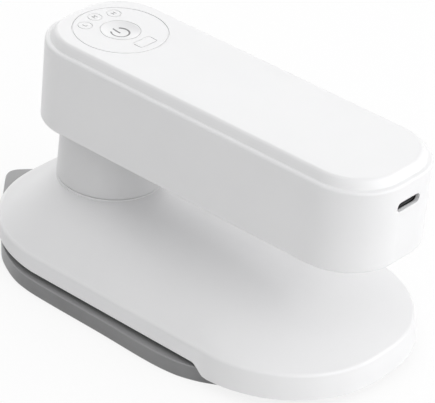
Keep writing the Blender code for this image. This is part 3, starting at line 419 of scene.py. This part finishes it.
shellSizes = {"corner": 17.2 * mm, "cornerSteps": 24, "footRound": 0.8 * mm, "footSteps": 4,
              "footDrop": 0.5 * mm, "bandHigh": 1.7 * mm, "bandLine": 0.1 * mm,
              "bandFlare": 0.3 * mm, "topRound": 0.85 * mm, "topSteps": 6, "lip": 1.75 * mm,
              "lipEdge": 0.05 * mm, "lipSteps": 3, "wall": 2.0 * mm, "well": 1.2 * mm}
slotSizes = {"wide": 10.0 * mm, "high": 3.0 * mm, "edge": 0.12 * mm, "drop": 7.3 * mm,
             "deep": 1.7 * mm, "start": 4.0 * mm, "roundShare": 0.49}
slotZ = shellHigh.z - slotSizes["drop"]


def makeShell():
    size = shellSizes
    foot = shellLow.z - size["footDrop"]
    shell = addBar("handleShell", (shellLow.x, shellLow.y, foot), shellHigh, size["corner"],
                   size["cornerSteps"])
    for height in (size["bandHigh"], size["bandHigh"] + size["bandLine"]):
        pick(shell, "FACE", everything)
        bpy.ops.mesh.bisect(plane_co=(0, 0, foot + height), plane_no=(0, 0, 1))
        leaveEdit()
    pick(shell, "VERT", lambda mesh, vertex: vertex.co.z < foot + pickLimits["slack"])
    grow = 1 + size["bandFlare"] / shellHigh.y
    bpy.ops.transform.resize(value=(1, grow, 1), center_override=(0, 0, foot))
    leaveEdit()
    bevelLevel(shell, foot, size["footRound"], size["footSteps"])
    bevelLevel(shell, shellHigh.z, size["topRound"], size["topSteps"])
    pick(shell, "FACE", flatFaces(shellHigh.z))
    bpy.ops.mesh.inset(thickness=size["lip"] - size["topRound"])
    bpy.ops.mesh.extrude_region_move(TRANSFORM_OT_translate={"value": (0, 0, -size["well"])})
    bpy.ops.mesh.inset(thickness=size["wall"] - size["lip"])
    depth = shellHigh.z - size["well"] - shellLow.z - size["wall"]
    bpy.ops.mesh.extrude_region_move(TRANSFORM_OT_translate={"value": (0, 0, -depth)})
    leaveEdit()
    bevelLevel(shell, shellHigh.z, size["lipEdge"], size["lipSteps"])
    carve(shell, makeSlot("portSlot", slotSizes["wide"], slotSizes["high"],
                          shellHigh.x - slotSizes["start"], shellHigh.x + overrun, slotZ))
    carve(shell, makeSlotEdge())
    return finishPiece(smoothed(shell), white, "handle", "white_plastic", "handle_shell")


# A bar along X whose width ends in half rounds
def makeSlot(name, wide, high, start, end, z, steps=14):
    bar = addBlock(name, (start, -wide / 2, z - high / 2), (end, wide / 2, z + high / 2))
    pick(bar, "EDGE", edgesAlong(0))
    bpy.ops.mesh.bevel(offset=high * slotSizes["roundShare"], segments=steps, affect="EDGES")
    leaveEdit()
    return bar


# Cuts the slot's chamfer: a slot that widens from inside the handle's end to just outside it
def makeSlotEdge():
    edge = slotSizes["edge"]
    start = shellHigh.x - edge
    tool = makeSlot("slotEdge", slotSizes["wide"], slotSizes["high"], start, shellHigh.x + edge,
                    slotZ)
    pick(tool, "VERT", lambda mesh, vertex: vertex.co.x > shellHigh.x)
    grow = (1, 1 + 4 * edge / slotSizes["wide"], 1 + 4 * edge / slotSizes["high"])
    bpy.ops.transform.resize(value=grow, center_override=(shellHigh.x, 0, slotZ))
    leaveEdit()
    return tool


makeShell()
print("handle shell made")


# Charging port

portSizes = {"wide": 8.5 * mm, "high": 2.2 * mm, "wall": 0.2 * mm, "recess": 2.0 * mm,
             "drop": 6.95 * mm, "surroundDeep": 1.2 * mm, "fit": 0.02 * mm}
tongueSizes = {"wide": 6.2 * mm, "high": 0.6 * mm, "back": 1.0 * mm, "corner": 0.1 * mm,
               "edge": 0.08 * mm, "steps": 2}
contactSizes = {"count": 6, "back": 1.3 * mm, "long": 3.0 * mm, "sunk": 0.05 * mm,
                "proud": 0.03 * mm, "edge": 0.02 * mm, "steps": 2}
portZ = shellHigh.z - portSizes["drop"]


def makePort():
    size = portSizes
    end = shellHigh.x - size["recess"]
    shell = makeSlot("portShell", size["wide"], size["high"], portStart, end, portZ)
    bore = makeSlot("portBore", size["wide"] - 2 * size["wall"], size["high"] - 2 * size["wall"],
                    portStart + size["wall"], end + overrun, portZ)
    carve(shell, bore)
    return finishPiece(smoothed(shell), portMetal, "handle", "port_metal", "charging_port")


# Dark surround that closes the slot behind its pocket: painted shade, a dark piece standing in for the
# shadow on the pocket's white back wall
def makePortPaintedShade():
    size = portSizes
    end = shellHigh.x - slotSizes["deep"]
    surround = makeSlot("portPaintedShade", slotSizes["wide"] - size["fit"], slotSizes["high"] - size["fit"],
                        end - size["surroundDeep"], end, slotZ)
    bore = makeSlot("frameBore", size["wide"] + size["fit"], size["high"] + size["fit"],
                    end - 2 * size["surroundDeep"], end + overrun, portZ)
    carve(surround, bore)
    return finishPiece(smoothed(surround), dark, "handle", "dark_plastic")


def makeTongue():
    size = tongueSizes
    start = portStart + portSizes["wall"] + portSizes["fit"]
    end = shellHigh.x - portSizes["recess"] - size["back"]
    low = (start, -size["wide"] / 2, portZ - size["high"] / 2)
    high = (end, size["wide"] / 2, portZ + size["high"] / 2)
    tongue = addBar("portTongue", low, high, size["corner"], size["steps"])
    bevelLevel(tongue, high[2], size["edge"], size["steps"])
    bevelLevel(tongue, low[2], size["edge"], size["steps"])
    return finishPiece(smoothed(tongue), dark, "handle", "dark_plastic")


def makeContacts():
    size = contactSizes
    pitch = tongueSizes["wide"] / (size["count"] + 1)
    z = portZ + tongueSizes["high"] / 2
    end = shellHigh.x - portSizes["recess"] - size["back"]
    strips = []
    for index in range(size["count"]):
        y = (index + 1) * pitch - tongueSizes["wide"] / 2
        strip = addBlock("contact", (end - size["long"], y - pitch / 4, z - size["sunk"]),
                         (end, y + pitch / 4, z + size["proud"]))
        bevelLevel(strip, z + size["proud"], size["edge"], size["steps"])
        strips.append(strip)
    return finishPiece(joined(strips, "portContacts"), steel, "handle", "steel")


makePort()
makePortPaintedShade()
makeTongue()
makeContacts()
print("charging port made")


# Top cover and control panel

panelSizes = {"radius": 14.45 * mm, "gap": 0.03 * mm, "depth": 1.1 * mm, "floorGap": 0.05 * mm,
              "edge": 0.05 * mm, "edgeSteps": 2, "line": 0.3 * mm, "lineDepth": 0.24 * mm, "sides": 192}
buttonSizes = {"radius": 5.9 * mm, "dish": 1.05 * mm, "deep": 2.2 * mm, "dishRows": 12,
               "edge": 0.04 * mm, "edgeSteps": 3}
lensSizes = {"radius": 2.0 * mm, "deep": 0.9 * mm, "circle": 10.6 * mm, "middle": 178.6,
             "spacing": 35.2, "sides": 64}  # middle and spacing in degrees round the panel
windowSizes = {"corner": 0.6 * mm, "cornerSteps": 8, "deep": 0.9 * mm}
coverSizes = {"start": 1.3 * mm, "seat": 0.02 * mm, "fillet": 0.4 * mm, "round": 1.6 * mm,
              "slope": 58, "gap": 0.01 * mm, "floorGap": 0.05 * mm, "wellOverrun": 2 * mm,
              "holeReach": 3 * mm}


def lensPlaces():
    places = []
    for index in (1, 0, -1):
        angle = math.radians(lensSizes["middle"] + lensSizes["spacing"] * index)
        reach = lensSizes["circle"]
        places.append((neckX + reach * math.cos(angle), reach * math.sin(angle)))
    return places


def edgeTop(piece):
    bevelLevel(piece, top, panelSizes["edge"], panelSizes["edgeSteps"])


# Points from the cover's seat on the shell's lip to its flat top, each inward and up
def coverProfile(steps=7):
    size = coverSizes
    slope = math.radians(size["slope"])
    turns = [slope * index / steps for index in range(steps + 1)]
    across = size["fillet"] * math.sin(slope)
    rise = size["fillet"] * (1 - math.cos(slope))
    straight = top - shellHigh.z - 2 * size["seat"] - rise - size["round"] * (1 - math.cos(slope))
    points = [(size["fillet"] * math.sin(turn), size["fillet"] * (1 - math.cos(turn)))
              for turn in turns]
    across += straight / math.tan(slope)
    rise += straight
    points += [(across + size["round"] * (math.sin(slope) - math.sin(turn)),
                rise + size["round"] * (math.cos(turn) - math.cos(slope)))
               for turn in turns[::-1]]
    return points


def makeCover():
    inset = coverSizes["start"]
    seat = shellHigh.z + coverSizes["seat"]
    low = (shellLow.x + inset, shellLow.y + inset, seat)
    high = (shellHigh.x - inset, shellHigh.y - inset, seat + coverSizes["seat"])
    cover = addBar("topCover", low, high, shellSizes["corner"] - inset, shellSizes["cornerSteps"])
    pick(cover, "FACE", flatFaces(high[2], pickLimits["fineSlack"]))
    points = coverProfile()
    for before, after in zip(points, points[1:]):
        bpy.ops.mesh.inset(thickness=after[0] - before[0], depth=after[1] - before[1])
    leaveEdit()
    pick(cover, "FACE", flatFaces(seat, pickLimits["fineSlack"]))
    bpy.ops.mesh.inset(thickness=shellSizes["lip"] + coverSizes["gap"] - inset)
    drop = shellSizes["well"] - coverSizes["floorGap"]
    bpy.ops.mesh.extrude_region_move(TRANSFORM_OT_translate={"value": (0, 0, -drop)})
    leaveEdit()
    carve(cover, addCylinder("panelWell", panelSizes["radius"] + panelSizes["gap"] / 2,
                             top - panelSizes["depth"], top + coverSizes["wellOverrun"], (neckX, 0),
                             panelSizes["sides"]))
    carve(cover, addCylinder("buttonHole", buttonSizes["radius"] + 2 * panelSizes["gap"],
                             seat - coverSizes["holeReach"], top + overrun, (neckX, 0)))
    edgeTop(cover)
    return finishPiece(smoothed(cover), white, "handle", "white_plastic", "top_cover")


# Bores the panel for each control, a little wider than the control by the reach
def carveControls(disc, reach, start):
    end = top + overrun
    carve(disc, addCylinder("buttonBore", buttonSizes["radius"] + reach, start, end, (neckX, 0)))
    for place in lensPlaces():
        carve(disc, addCylinder("lensBore", lensSizes["radius"] + reach, start, end, place,
                                lensSizes["sides"]))
    carve(disc, addBar("windowBore", (windowLow.x - reach, windowLow.y - reach, start),
                       (windowHigh.x + reach, windowHigh.y + reach, end),
                       windowSizes["corner"] + reach, windowSizes["cornerSteps"]))


# A fine line runs round the panel and round each control, as a shallow groove
def makePanel():
    size = panelSizes
    low = top - size["depth"] + size["floorGap"]
    floor = top - size["lineDepth"]
    disc = addCylinder("controlPanel", size["radius"] - size["gap"], low, floor, (neckX, 0),
                       size["sides"])
    pick(disc, "FACE", flatFaces(floor))
    bpy.ops.mesh.inset(thickness=size["line"])
    bpy.ops.mesh.extrude_region_move(TRANSFORM_OT_translate={"value": (0, 0, top - floor)})
    leaveEdit()
    carveControls(disc, size["gap"], low - overrun)
    carveControls(disc, size["line"], floor)
    edgeTop(disc)
    return finishPiece(smoothed(disc), white, "handle", "white_plastic", "control_panel")


def makeWindow():
    size = windowSizes
    pane = addBar("windowPane", (windowLow.x, windowLow.y, top - size["deep"]),
                  (windowHigh.x, windowHigh.y, top), size["corner"], size["cornerSteps"])
    edgeTop(pane)
    return finishPiece(smoothed(pane), paneClear, "handle", "window", "display_window")


def makeLenses():
    for index, place in enumerate(lensPlaces()):
        lens = addCylinder("indicatorLens%d" % (index + 1), lensSizes["radius"],
                           top - lensSizes["deep"], top, place, lensSizes["sides"])
        edgeTop(lens)
        cadName = lensNode(place)
        finishPiece(smoothed(lens), lensClear, "handle", "lens", cadName)


# The CAD lens that stands at a place
def lensNode(place):
    def reach(name):
        low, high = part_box(name)
        return math.dist(((low.x + high.x) / 2, (low.y + high.y) / 2), place)
    return min(("indicator_lens_%d" % (index + 1) for index in range(3)), key=reach)


def dishHeight(x, y):
    share = min(math.hypot(x - neckX, y) / buttonSizes["radius"], 1)
    return top - buttonSizes["dish"] * (1 - share ** 2)


def makeButton():
    size = buttonSizes
    cap = addCylinder("powerButton", size["radius"], top - size["deep"], top, (neckX, 0))
    pick(cap, "FACE", flatFaces(top))
    for index in range(size["dishRows"]):  # a small disc is left in the middle
        bpy.ops.mesh.inset(thickness=size["radius"] / (size["dishRows"] + 0.5))
    leaveEdit()
    for vertex in cap.data.vertices:
        if vertex.co.z > top - pickLimits["slack"]:
            vertex.co.z = dishHeight(vertex.co.x, vertex.co.y)
    bevelLevel(cap, top, size["edge"], size["edgeSteps"])
    return finishPiece(smoothed(cap), white, "button", "white_plastic", "power_button")


# Marks printed on the controls

markSizes = {"ring": 2.72 * mm, "stroke": 0.52 * mm, "opening": 37, "bar": 3.0 * mm,
             "ink": 0.03 * mm, "letter": 2.1 * mm, "ringSteps": 120, "ringRows": 3,
             "barSteps": (12, 3)}


# An open ring and a bar, drawn on the button's dish
def makePowerMark():
    size = markSizes
    nothingPicked()
    bpy.ops.mesh.primitive_circle_add(vertices=size["ringSteps"], location=(neckX, 0, top),
                                      radius=size["ring"] - size["stroke"] / 2)
    ring = settle(named("markRing"))

    def inOpening(mesh, vertex):
        turn = math.atan2(vertex.co.y, -(vertex.co.x - neckX))
        return abs(turn) < math.radians(size["opening"])
    pick(ring, "VERT", inOpening)
    bpy.ops.mesh.delete(type="VERT")
    bpy.ops.mesh.select_all(action="SELECT")
    row = size["stroke"] / size["ringRows"]
    for index in range(size["ringRows"]):
        grow = 1 + row / (size["ring"] - size["stroke"] / 2 + row * index)
        bpy.ops.mesh.extrude_edges_move()
        bpy.ops.transform.resize(value=(grow, grow, 1), center_override=(neckX, 0, top))
    leaveEdit()
    nothingPicked()
    along, across = size["barSteps"]
    bpy.ops.mesh.primitive_grid_add(x_subdivisions=along, y_subdivisions=across, size=1,
                                    location=(neckX - size["bar"] / 2, 0, top))
    bar = named("markBar")
    bar.scale = (size["bar"], size["stroke"], 1)
    settle(bar)
    mark = joined([ring, bar], "powerMark")
    for vertex in mark.data.vertices:
        vertex.co.z = dishHeight(vertex.co.x, vertex.co.y) + size["ink"] / 2
    thicken(mark, size["ink"])
    return finishPiece(mark, ink, "button", "dark_plastic")


def thicken(piece, thickness):
    pick(piece, "FACE", everything)
    bpy.ops.mesh.normals_make_consistent(inside=False)
    leaveEdit()
    wall = piece.modifiers.new("wall", "SOLIDIFY")
    wall.thickness = thickness
    wall.offset = 0
    applyAll(piece)


# L, M and H for low, medium and high, read from the charging end
def makeLevelMarks():
    size = markSizes
    for letter, place in zip("LMH", lensPlaces()):
        nothingPicked()
        bpy.ops.object.text_add()
        text = bpy.context.object
        text.data.body = letter
        text.data.size = size["letter"]
        text.data.align_x = "CENTER"
        text.data.align_y = "CENTER"
        text.data.extrude = size["ink"] / 2
        bpy.ops.object.convert(target="MESH")
        mark = named("levelMark" + letter)
        mark.rotation_euler = (0, 0, math.pi / 2)
        mark.location = (place[0], place[1], top + size["ink"] / 2)
        finishPiece(settle(mark), ink, "handle", "dark_plastic")


makeCover()
makePanel()
makeWindow()
makeLenses()
makeButton()
makePowerMark()
makeLevelMarks()
print("controls made")


# Neck

neckSizes = {"topRadius": 15.9 * mm, "footRadius": 16.5 * mm, "edge": 0.3 * mm, "edgeSteps": 4,
             "sides": 144, "seam": 0.08 * mm, "headGap": 0.02 * mm}


def makeNeck():
    foot = baseHigh.z + neckSizes["seam"]
    head = shellLow.z - shellSizes["footDrop"] - neckSizes["headGap"]
    neck = addCylinder("neckColumn", neckSizes["footRadius"], foot, head, (neckX, 0),
                       neckSizes["sides"])
    pick(neck, "FACE", flatFaces(head))
    share = neckSizes["topRadius"] / neckSizes["footRadius"]
    bpy.ops.transform.resize(value=(share, share, 1), center_override=(neckX, 0, head))
    leaveEdit()
    bevelLevel(neck, foot, neckSizes["edge"], neckSizes["edgeSteps"])
    # The neck's darker finish is painted shade
    return finishPiece(smoothed(neck), neckShadedWhite, "handle", "white_plastic", "neck_column")


makeNeck()
print("neck made")


# Base outlines

flare = 1.2 * mm
rimSizes = {"front": neckX - baseLow.x - flare, "rear": baseHigh.x - neckX - flare,
            "half": baseHigh.y - flare, "noseStart": 5.4 * mm, "rearCorner": 34.4 * mm,
            "round": 1.2 * mm, "flare": flare, "height": 11.4 * mm, "frontFoot": 6.8 * mm,
            "rearFoot": 3.6 * mm, "stepLength": 5.2 * mm, "stepShift": 0.9 * mm,
            "noseFlareShare": -0.5, "noseRise": 1.3 * mm, "nosePower": 0.96, "roundSteps": 5,
            "skirtShares": (0.0, 0.03, 0.3, 0.6, 0.9)}
# The dome's powers say how full it is, and the swing makes the heel fuller than the nose
domeSizes = {"collarHigh": 0.4 * mm, "frontFall": 0.8 * mm, "collarRound": 0.35 * mm,
             "powerMean": 1.5, "powerSwing": 0.2, "rows": 26, "rowPower": 1.15, "wall": 2.0 * mm,
             "bore": 9.3 * mm}


# Half of the rim from front to rear, each point with its outward direction
def rimHalf(noseSteps=36, sideSteps=24, stepSteps=14, heelSteps=36):
    size = rimSizes
    front = size["front"] + size["noseStart"]
    half = []
    for index in range(noseSteps + 1):
        angle = math.pi - math.pi / 2 * index / noseSteps
        reach = abs(math.cos(angle)) ** size["nosePower"]
        spread = abs(math.sin(angle)) ** size["nosePower"]
        place = Vector((size["noseStart"] - front * reach, size["half"] * spread))
        outward = Vector((math.cos(angle) / front, math.sin(angle) / size["half"])).normalized()
        half.append((place, outward))
    stepEnd = size["rear"] - size["rearCorner"]
    stepStart = stepEnd - size["stepLength"]
    run = stepStart - size["noseStart"]
    side = [size["noseStart"] + run * index / sideSteps for index in range(1, sideSteps + 1)]
    side += [stepStart + size["stepLength"] * index / stepSteps for index in range(1, stepSteps)]
    half += [(Vector((x, size["half"])), Vector((0, 1))) for x in side]
    centre = Vector((stepEnd, size["half"] - size["rearCorner"]))
    for index in range(heelSteps + 1):
        angle = math.pi / 2 - math.pi / 2 * index / heelSteps
        outward = Vector((math.cos(angle), math.sin(angle)))
        half.append((centre + outward * size["rearCorner"], outward))
    return half


def rimColumns():
    half = rimHalf()
    flip = Vector((1, -1))
    return [(place * flip, outward * flip) for place, outward in half[:0:-1]] + half


def footHeight(x):
    size = rimSizes
    nose = max(size["noseStart"] - x, 0) / (size["front"] + size["noseStart"])
    start = size["rear"] - size["rearCorner"] - size["stepLength"] + size["stepShift"]
    share = min(max((x - start) / size["stepLength"], 0), 1)
    fall = size["frontFoot"] - size["rearFoot"]
    return size["frontFoot"] + size["noseRise"] * nose - fall * share * share * (3 - 2 * share)


def domeHeight(share, direction):
    size = domeSizes
    peak = baseHigh.z - size["collarHigh"] - size["frontFall"] * (1 - direction.x) / 2
    power = size["powerMean"] + size["powerSwing"] * direction.x
    return rimSizes["height"] + (peak - rimSizes["height"]) * (1 - (1 - share) ** power)


# The skirt leans out less towards the nose, and inward at its tip
def flareAt(outward):
    size = rimSizes
    return size["flare"] * (1 - (1 - size["noseFlareShare"]) * max(-outward.x, 0))


# Rings of points from the skirt's foot to the swivel's bore, each as long as the rim
def coverRings():
    columns = rimColumns()
    size = rimSizes
    edge = size["height"] - size["round"]
    rings = []
    for share in size["skirtShares"]:
        rings.append([((place + outward * flareAt(outward) * (1 - share)),
                       footHeight(place.x) + (edge - footHeight(place.x)) * share)
                      for place, outward in columns])
    for index in range(size["roundSteps"] + 1):
        turn = math.pi / 2 * index / size["roundSteps"]
        inset = size["round"] * (1 - math.cos(turn))
        drop = size["round"] * (1 - math.sin(turn))
        rings.append([(place - outward * inset, size["height"] - drop)
                      for place, outward in columns])
    rim = [place for place, _ in rings[-1]]
    foot = [place.normalized() * neckSizes["footRadius"] for place, _ in columns]
    rows = domeSizes["rows"]
    for index in range(1, rows + 1):
        share = (index / rows) ** domeSizes["rowPower"]
        rings.append([(start.lerp(end, share), domeHeight(share, end.normalized()))
                      for start, end in zip(rim, foot)])
    collarRound = domeSizes["collarRound"]
    for turn in (0, math.pi / 4, math.pi / 2):
        shrink = 1 - collarRound * (1 - math.cos(turn)) / neckSizes["footRadius"]
        drop = collarRound * (1 - math.sin(turn))
        rings.append([(end * shrink, baseHigh.z - drop) for end in foot])
    rings.append([(end.normalized() * domeSizes["bore"], baseHigh.z) for end in foot])
    return rings


def setLoop(piece, start, ring):
    for index, (place, z) in enumerate(ring):
        piece.data.vertices[start + index].co = (neckX + place.x, place.y, z)


# The filler plug stands square to the dome
plugSizes = {"reach": 62.0 * mm, "side": 18.5 * mm, "seat": 18.4 * mm, "head": 5.0 * mm,
             "stem": 3.4 * mm, "stemLength": 6.2 * mm, "lift": 0.3 * mm, "thick": 1.4 * mm,
             "dip": 0.5 * mm, "dipRim": 1.5 * mm, "headRound": 0.3 * mm, "headSteps": 4,
             "underRound": 0.2 * mm, "underSteps": 3, "tipRound": 0.6 * mm, "tipSteps": 4,
             "holeGap": 0.3 * mm, "holeStart": 8 * mm, "holeEnd": 4 * mm}
gripSizes = {"long": 4.8 * mm, "wide": 1.2 * mm, "sunk": 0.8 * mm, "proud": 0.1 * mm,
             "corner": 0.5 * mm, "cornerSteps": 5, "round": 0.3 * mm, "roundSteps": 4}


def alongPlug(piece):
    joints = {joint["name"]: joint for joint in frame["record"]["behaviour"]["joints"]}
    axis = Vector(joints["filler_plug_pull"]["axis"])
    piece.rotation_euler = axis.to_track_quat("Z", "Y").to_euler()
    piece.location = (neckX + plugSizes["reach"], plugSizes["side"], plugSizes["seat"])
    return settle(piece)


def makeFillerPlug():
    size = plugSizes
    high = size["lift"] + size["thick"]
    plug = addCylinder("fillerPlug", size["head"], size["lift"], high)
    pick(plug, "FACE", flatFaces(size["lift"]))
    bpy.ops.mesh.inset(thickness=size["head"] - size["stem"])
    drop = size["stemLength"] + size["lift"]
    bpy.ops.mesh.extrude_region_move(TRANSFORM_OT_translate={"value": (0, 0, -drop)})
    leaveEdit()
    pick(plug, "FACE", flatFaces(high))
    bpy.ops.mesh.inset(thickness=size["dipRim"])
    bpy.ops.mesh.extrude_region_move(TRANSFORM_OT_translate={"value": (0, 0, -size["dip"])})
    leaveEdit()
    bevelLevel(plug, high, size["headRound"], size["headSteps"])
    bevelLevel(plug, size["lift"], size["underRound"], size["underSteps"])
    bevelLevel(plug, -size["stemLength"], size["tipRound"], size["tipSteps"])
    carve(plug, makeGrip(high), "UNION")
    return finishPiece(smoothed(alongPlug(plug)), rubber, "plug", "silicone", "filler_plug")


# A bar across the plug's dip, to pull it by
def makeGrip(high):
    size = gripSizes
    end = high + size["proud"]
    grip = addBar("plugGrip", (-size["long"] / 2, -size["wide"] / 2, high - size["sunk"]),
                  (size["long"] / 2, size["wide"] / 2, end), size["corner"], size["cornerSteps"])
    bevelLevel(grip, end, size["round"], size["roundSteps"])
    return grip


def makeBaseCover():
    rings = coverRings()
    count = len(rings[0])
    nothingPicked()
    bpy.ops.mesh.primitive_circle_add(vertices=count, radius=rimSizes["half"])
    cover = settle(named("baseCover"))
    setLoop(cover, 0, rings[0])
    for index in range(1, len(rings)):
        start = (index - 1) * count
        activate(cover)
        bpy.ops.object.mode_set(mode="EDIT")
        bpy.ops.mesh.select_mode(type="EDGE")
        bpy.ops.mesh.select_all(action="DESELECT")
        leaveEdit()
        for edge in cover.data.edges:
            edge.select = min(edge.vertices) >= start
        bpy.ops.object.mode_set(mode="EDIT")
        bpy.ops.mesh.extrude_edges_move()
        leaveEdit()
        setLoop(cover, index * count, rings[index])
    pick(cover, "FACE", everything)
    bpy.ops.mesh.normals_make_consistent(inside=False)
    leaveEdit()
    if all(face.normal.z < pickLimits["upCosine"] for face in cover.data.polygons):
        cover.data.flip_normals()  # an open surface can come out facing in
    shell = cover.modifiers.new("wall", "SOLIDIFY")
    shell.thickness = domeSizes["wall"]
    shell.offset = -1
    shell.use_even_offset = True
    applyAll(cover)
    carve(cover, alongPlug(addCylinder("fillerHole", plugSizes["stem"] + plugSizes["holeGap"],
                                       -plugSizes["holeStart"], plugSizes["holeEnd"])))
    return finishPiece(smoothed(cover, 40), white, "base", "white_plastic", "base_cover")


makeBaseCover()
makeFillerPlug()
print("base cover made")


# Soleplate

soleSizes = {"nose": neckX - soleLow.x, "length": soleHigh.x - soleLow.x, "half": soleHigh.y,
             "thick": soleHigh.z, "footEdge": 0.58 * mm, "topEdge": 0.35 * mm, "edgeSteps": 4,
             "steps": 8, "hole": 1.2 * mm, "holeSides": 32}
# Steam holes from the neck's axis, towards the heel and to the side: one at the nose, then pairs
steamPairs = [(3.72 * mm, 8.4 * mm), (15.9 * mm, 12.4 * mm), (28.08 * mm, 13.2 * mm)]
steamHoles = [(-6.72 * mm, 0)] + [(x, side * y) for x, y in steamPairs for side in (1, -1)]
# The sole's outline from nose to heel, as shares of its length and of its half width
boatShares = [
    (0.000, 0.000), (0.004, 0.051), (0.016, 0.109), (0.050, 0.246), (0.087, 0.392),
    (0.125, 0.527), (0.172, 0.687), (0.215, 0.820), (0.276, 0.930), (0.328, 0.973),
    (0.399, 0.985), (0.549, 0.989), (0.671, 1.000), (0.739, 0.988), (0.783, 0.951),
    (0.824, 0.885), (0.875, 0.762), (0.928, 0.567), (0.975, 0.308), (1.000, 0.000),
]


def boatLoop(nose, length, half, steps):
    side = [(-nose + x * length, y * half) for x, y in boatShares]
    knots = side + [(x, -y) for x, y in side[-2:0:-1]]
    loop = []
    for index in range(len(knots)):
        a, b, c, d = (Vector(knots[(index + k - 1) % len(knots)]) for k in range(4))
        for step in range(steps):
            t = step / steps
            bend = 2 * b + (c - a) * t + (2 * a - 5 * b + 4 * c - d) * t ** 2
            loop.append((bend + (3 * b - a - 3 * c + d) * t ** 3) / 2)
    return loop[::-1]


def makeSole():
    size = soleSizes
    loop = boatLoop(size["nose"], size["length"], size["half"], size["steps"])
    nothingPicked()
    bpy.ops.mesh.primitive_circle_add(vertices=len(loop), radius=size["half"], fill_type="NGON")
    sole = settle(named("soleplate"))
    setLoop(sole, 0, [(place, 0) for place in loop])
    pick(sole, "FACE", everything)
    bpy.ops.mesh.extrude_region_move(TRANSFORM_OT_translate={"value": (0, 0, size["thick"])})
    bpy.ops.mesh.select_all(action="SELECT")
    bpy.ops.mesh.normals_make_consistent(inside=False)
    leaveEdit()
    bevelLevel(sole, 0, size["footEdge"], size["edgeSteps"])
    bevelLevel(sole, size["thick"], size["topEdge"], size["edgeSteps"])
    for x, y in steamHoles:
        carve(sole, addCylinder("steamHole", size["hole"], -overrun, size["thick"] + overrun,
                                (neckX + x, y), size["holeSides"]))
    return finishPiece(smoothed(sole), soleCoat, "base", "sole_coating", "soleplate")


makeSole()
print("soleplate made")


# Floor, backdrop and light

stageLook = {"floor": (0.86, 0.86, 0.86), "floorRough": 0.9, "floorDrop": 0.05 * mm, "size": 8.0,
             "whiteShare": 0.85, "white": 1.0, "world": 0.4, "aimHigh": 30 * mm}
lamps = [
    {"name": "rightLamp", "place": (1.4, -0.1, 0.7), "power": 7.6, "size": 1.2},
    {"name": "topLamp", "place": (0.15, -0.12, 1.6), "power": 4.6, "size": 1.7},
    {"name": "leftLamp", "place": (-1.4, -0.1, 0.45), "power": 2.8, "size": 1.0},
    {"name": "backLeftLamp", "place": (-0.9, 1.0, 0.8), "power": 3.7, "size": 1.0},
    {"name": "backRightLamp", "place": (0.9, 1.0, 0.7), "power": 7.1, "size": 1.0},
    {"name": "lowLeftLamp", "place": (-1.3, 0.7, 0.3), "power": 2.6, "size": 0.8},
    {"name": "frontLamp", "place": (0.5, -1.0, 1.5), "power": 5.5, "size": 1.4},
    {"name": "highRightLamp", "place": (1.0, 0.4, 1.2), "power": 3.4, "size": 1.2},
]


# The camera, reflections and clear pieces see the bright side, and all other light the surface
def whiteForCamera(tree, surface, output):
    path = node(tree, "ShaderNodeLightPath", (-600, 300))
    seen = node(tree, "ShaderNodeMath", (-400, 300), operation="MAXIMUM")
    tree.links.new(path.outputs["Is Camera Ray"], seen.inputs[0])
    tree.links.new(path.outputs["Is Glossy Ray"], seen.inputs[1])
    both = node(tree, "ShaderNodeMath", (-200, 300), operation="MAXIMUM")
    tree.links.new(seen.outputs[0], both.inputs[0])
    tree.links.new(path.outputs["Is Transmission Ray"], both.inputs[1])
    mix = node(tree, "ShaderNodeMixShader", (100, 100))
    tree.links.new(both.outputs[0], mix.inputs["Fac"])
    tree.links.new(surface.outputs[0], mix.inputs[1])
    tree.links.new(mix.outputs[0], output.inputs["Surface"])
    return mix


def makeFloor():
    nothingPicked()
    bpy.ops.mesh.primitive_plane_add(size=stageLook["size"], location=(0, 0, -stageLook["floorDrop"]))
    floor = settle(named("floor"))
    paper = bpy.data.materials.new("paleFloor")
    paper.use_nodes = True
    tree = paper.node_tree
    shader = tree.nodes["Principled BSDF"]
    shader.inputs["Base Color"].default_value = (*stageLook["floor"], 1)
    shader.inputs["Roughness"].default_value = stageLook["floorRough"]
    output = tree.nodes["Material Output"]
    bright = node(tree, "ShaderNodeEmission", (-200, -200))
    bright.inputs["Strength"].default_value = stageLook["white"]
    shadowed = node(tree, "ShaderNodeMixShader", (-50, -100))
    shadowed.inputs["Fac"].default_value = stageLook["whiteShare"]
    tree.links.new(shader.outputs[0], shadowed.inputs[1])
    tree.links.new(bright.outputs[0], shadowed.inputs[2])
    mix = whiteForCamera(tree, shader, output)
    tree.links.new(shadowed.outputs[0], mix.inputs[2])
    floor.data.materials.append(paper)


def makeWorld():
    world = bpy.data.worlds.new("studioWorld")
    scene.world = world
    world.use_nodes = True
    tree = world.node_tree
    soft = tree.nodes["Background"]
    soft.inputs["Color"].default_value = (1, 1, 1, 1)
    soft.inputs["Strength"].default_value = stageLook["world"]
    bright = node(tree, "ShaderNodeBackground", (-200, -200))
    bright.inputs["Color"].default_value = (1, 1, 1, 1)
    bright.inputs["Strength"].default_value = stageLook["white"]
    mix = whiteForCamera(tree, soft, tree.nodes["World Output"])
    tree.links.new(bright.outputs[0], mix.inputs[2])


def makeLamps():
    for lamp in lamps:
        data = bpy.data.lights.new(lamp["name"], "AREA")
        data.energy = lamp["power"]
        data.size = lamp["size"]
        item = bpy.data.objects.new(lamp["name"], data)
        item.location = lamp["place"]
        aim = Vector((0, 0, stageLook["aimHigh"])) - item.location
        item.rotation_euler = aim.to_track_quat("-Z", "Y").to_euler()
        scene.collection.objects.link(item)


makeFloor()
makeWorld()
makeLamps()
scene.view_settings.view_transform = "Standard"
print("stage made")
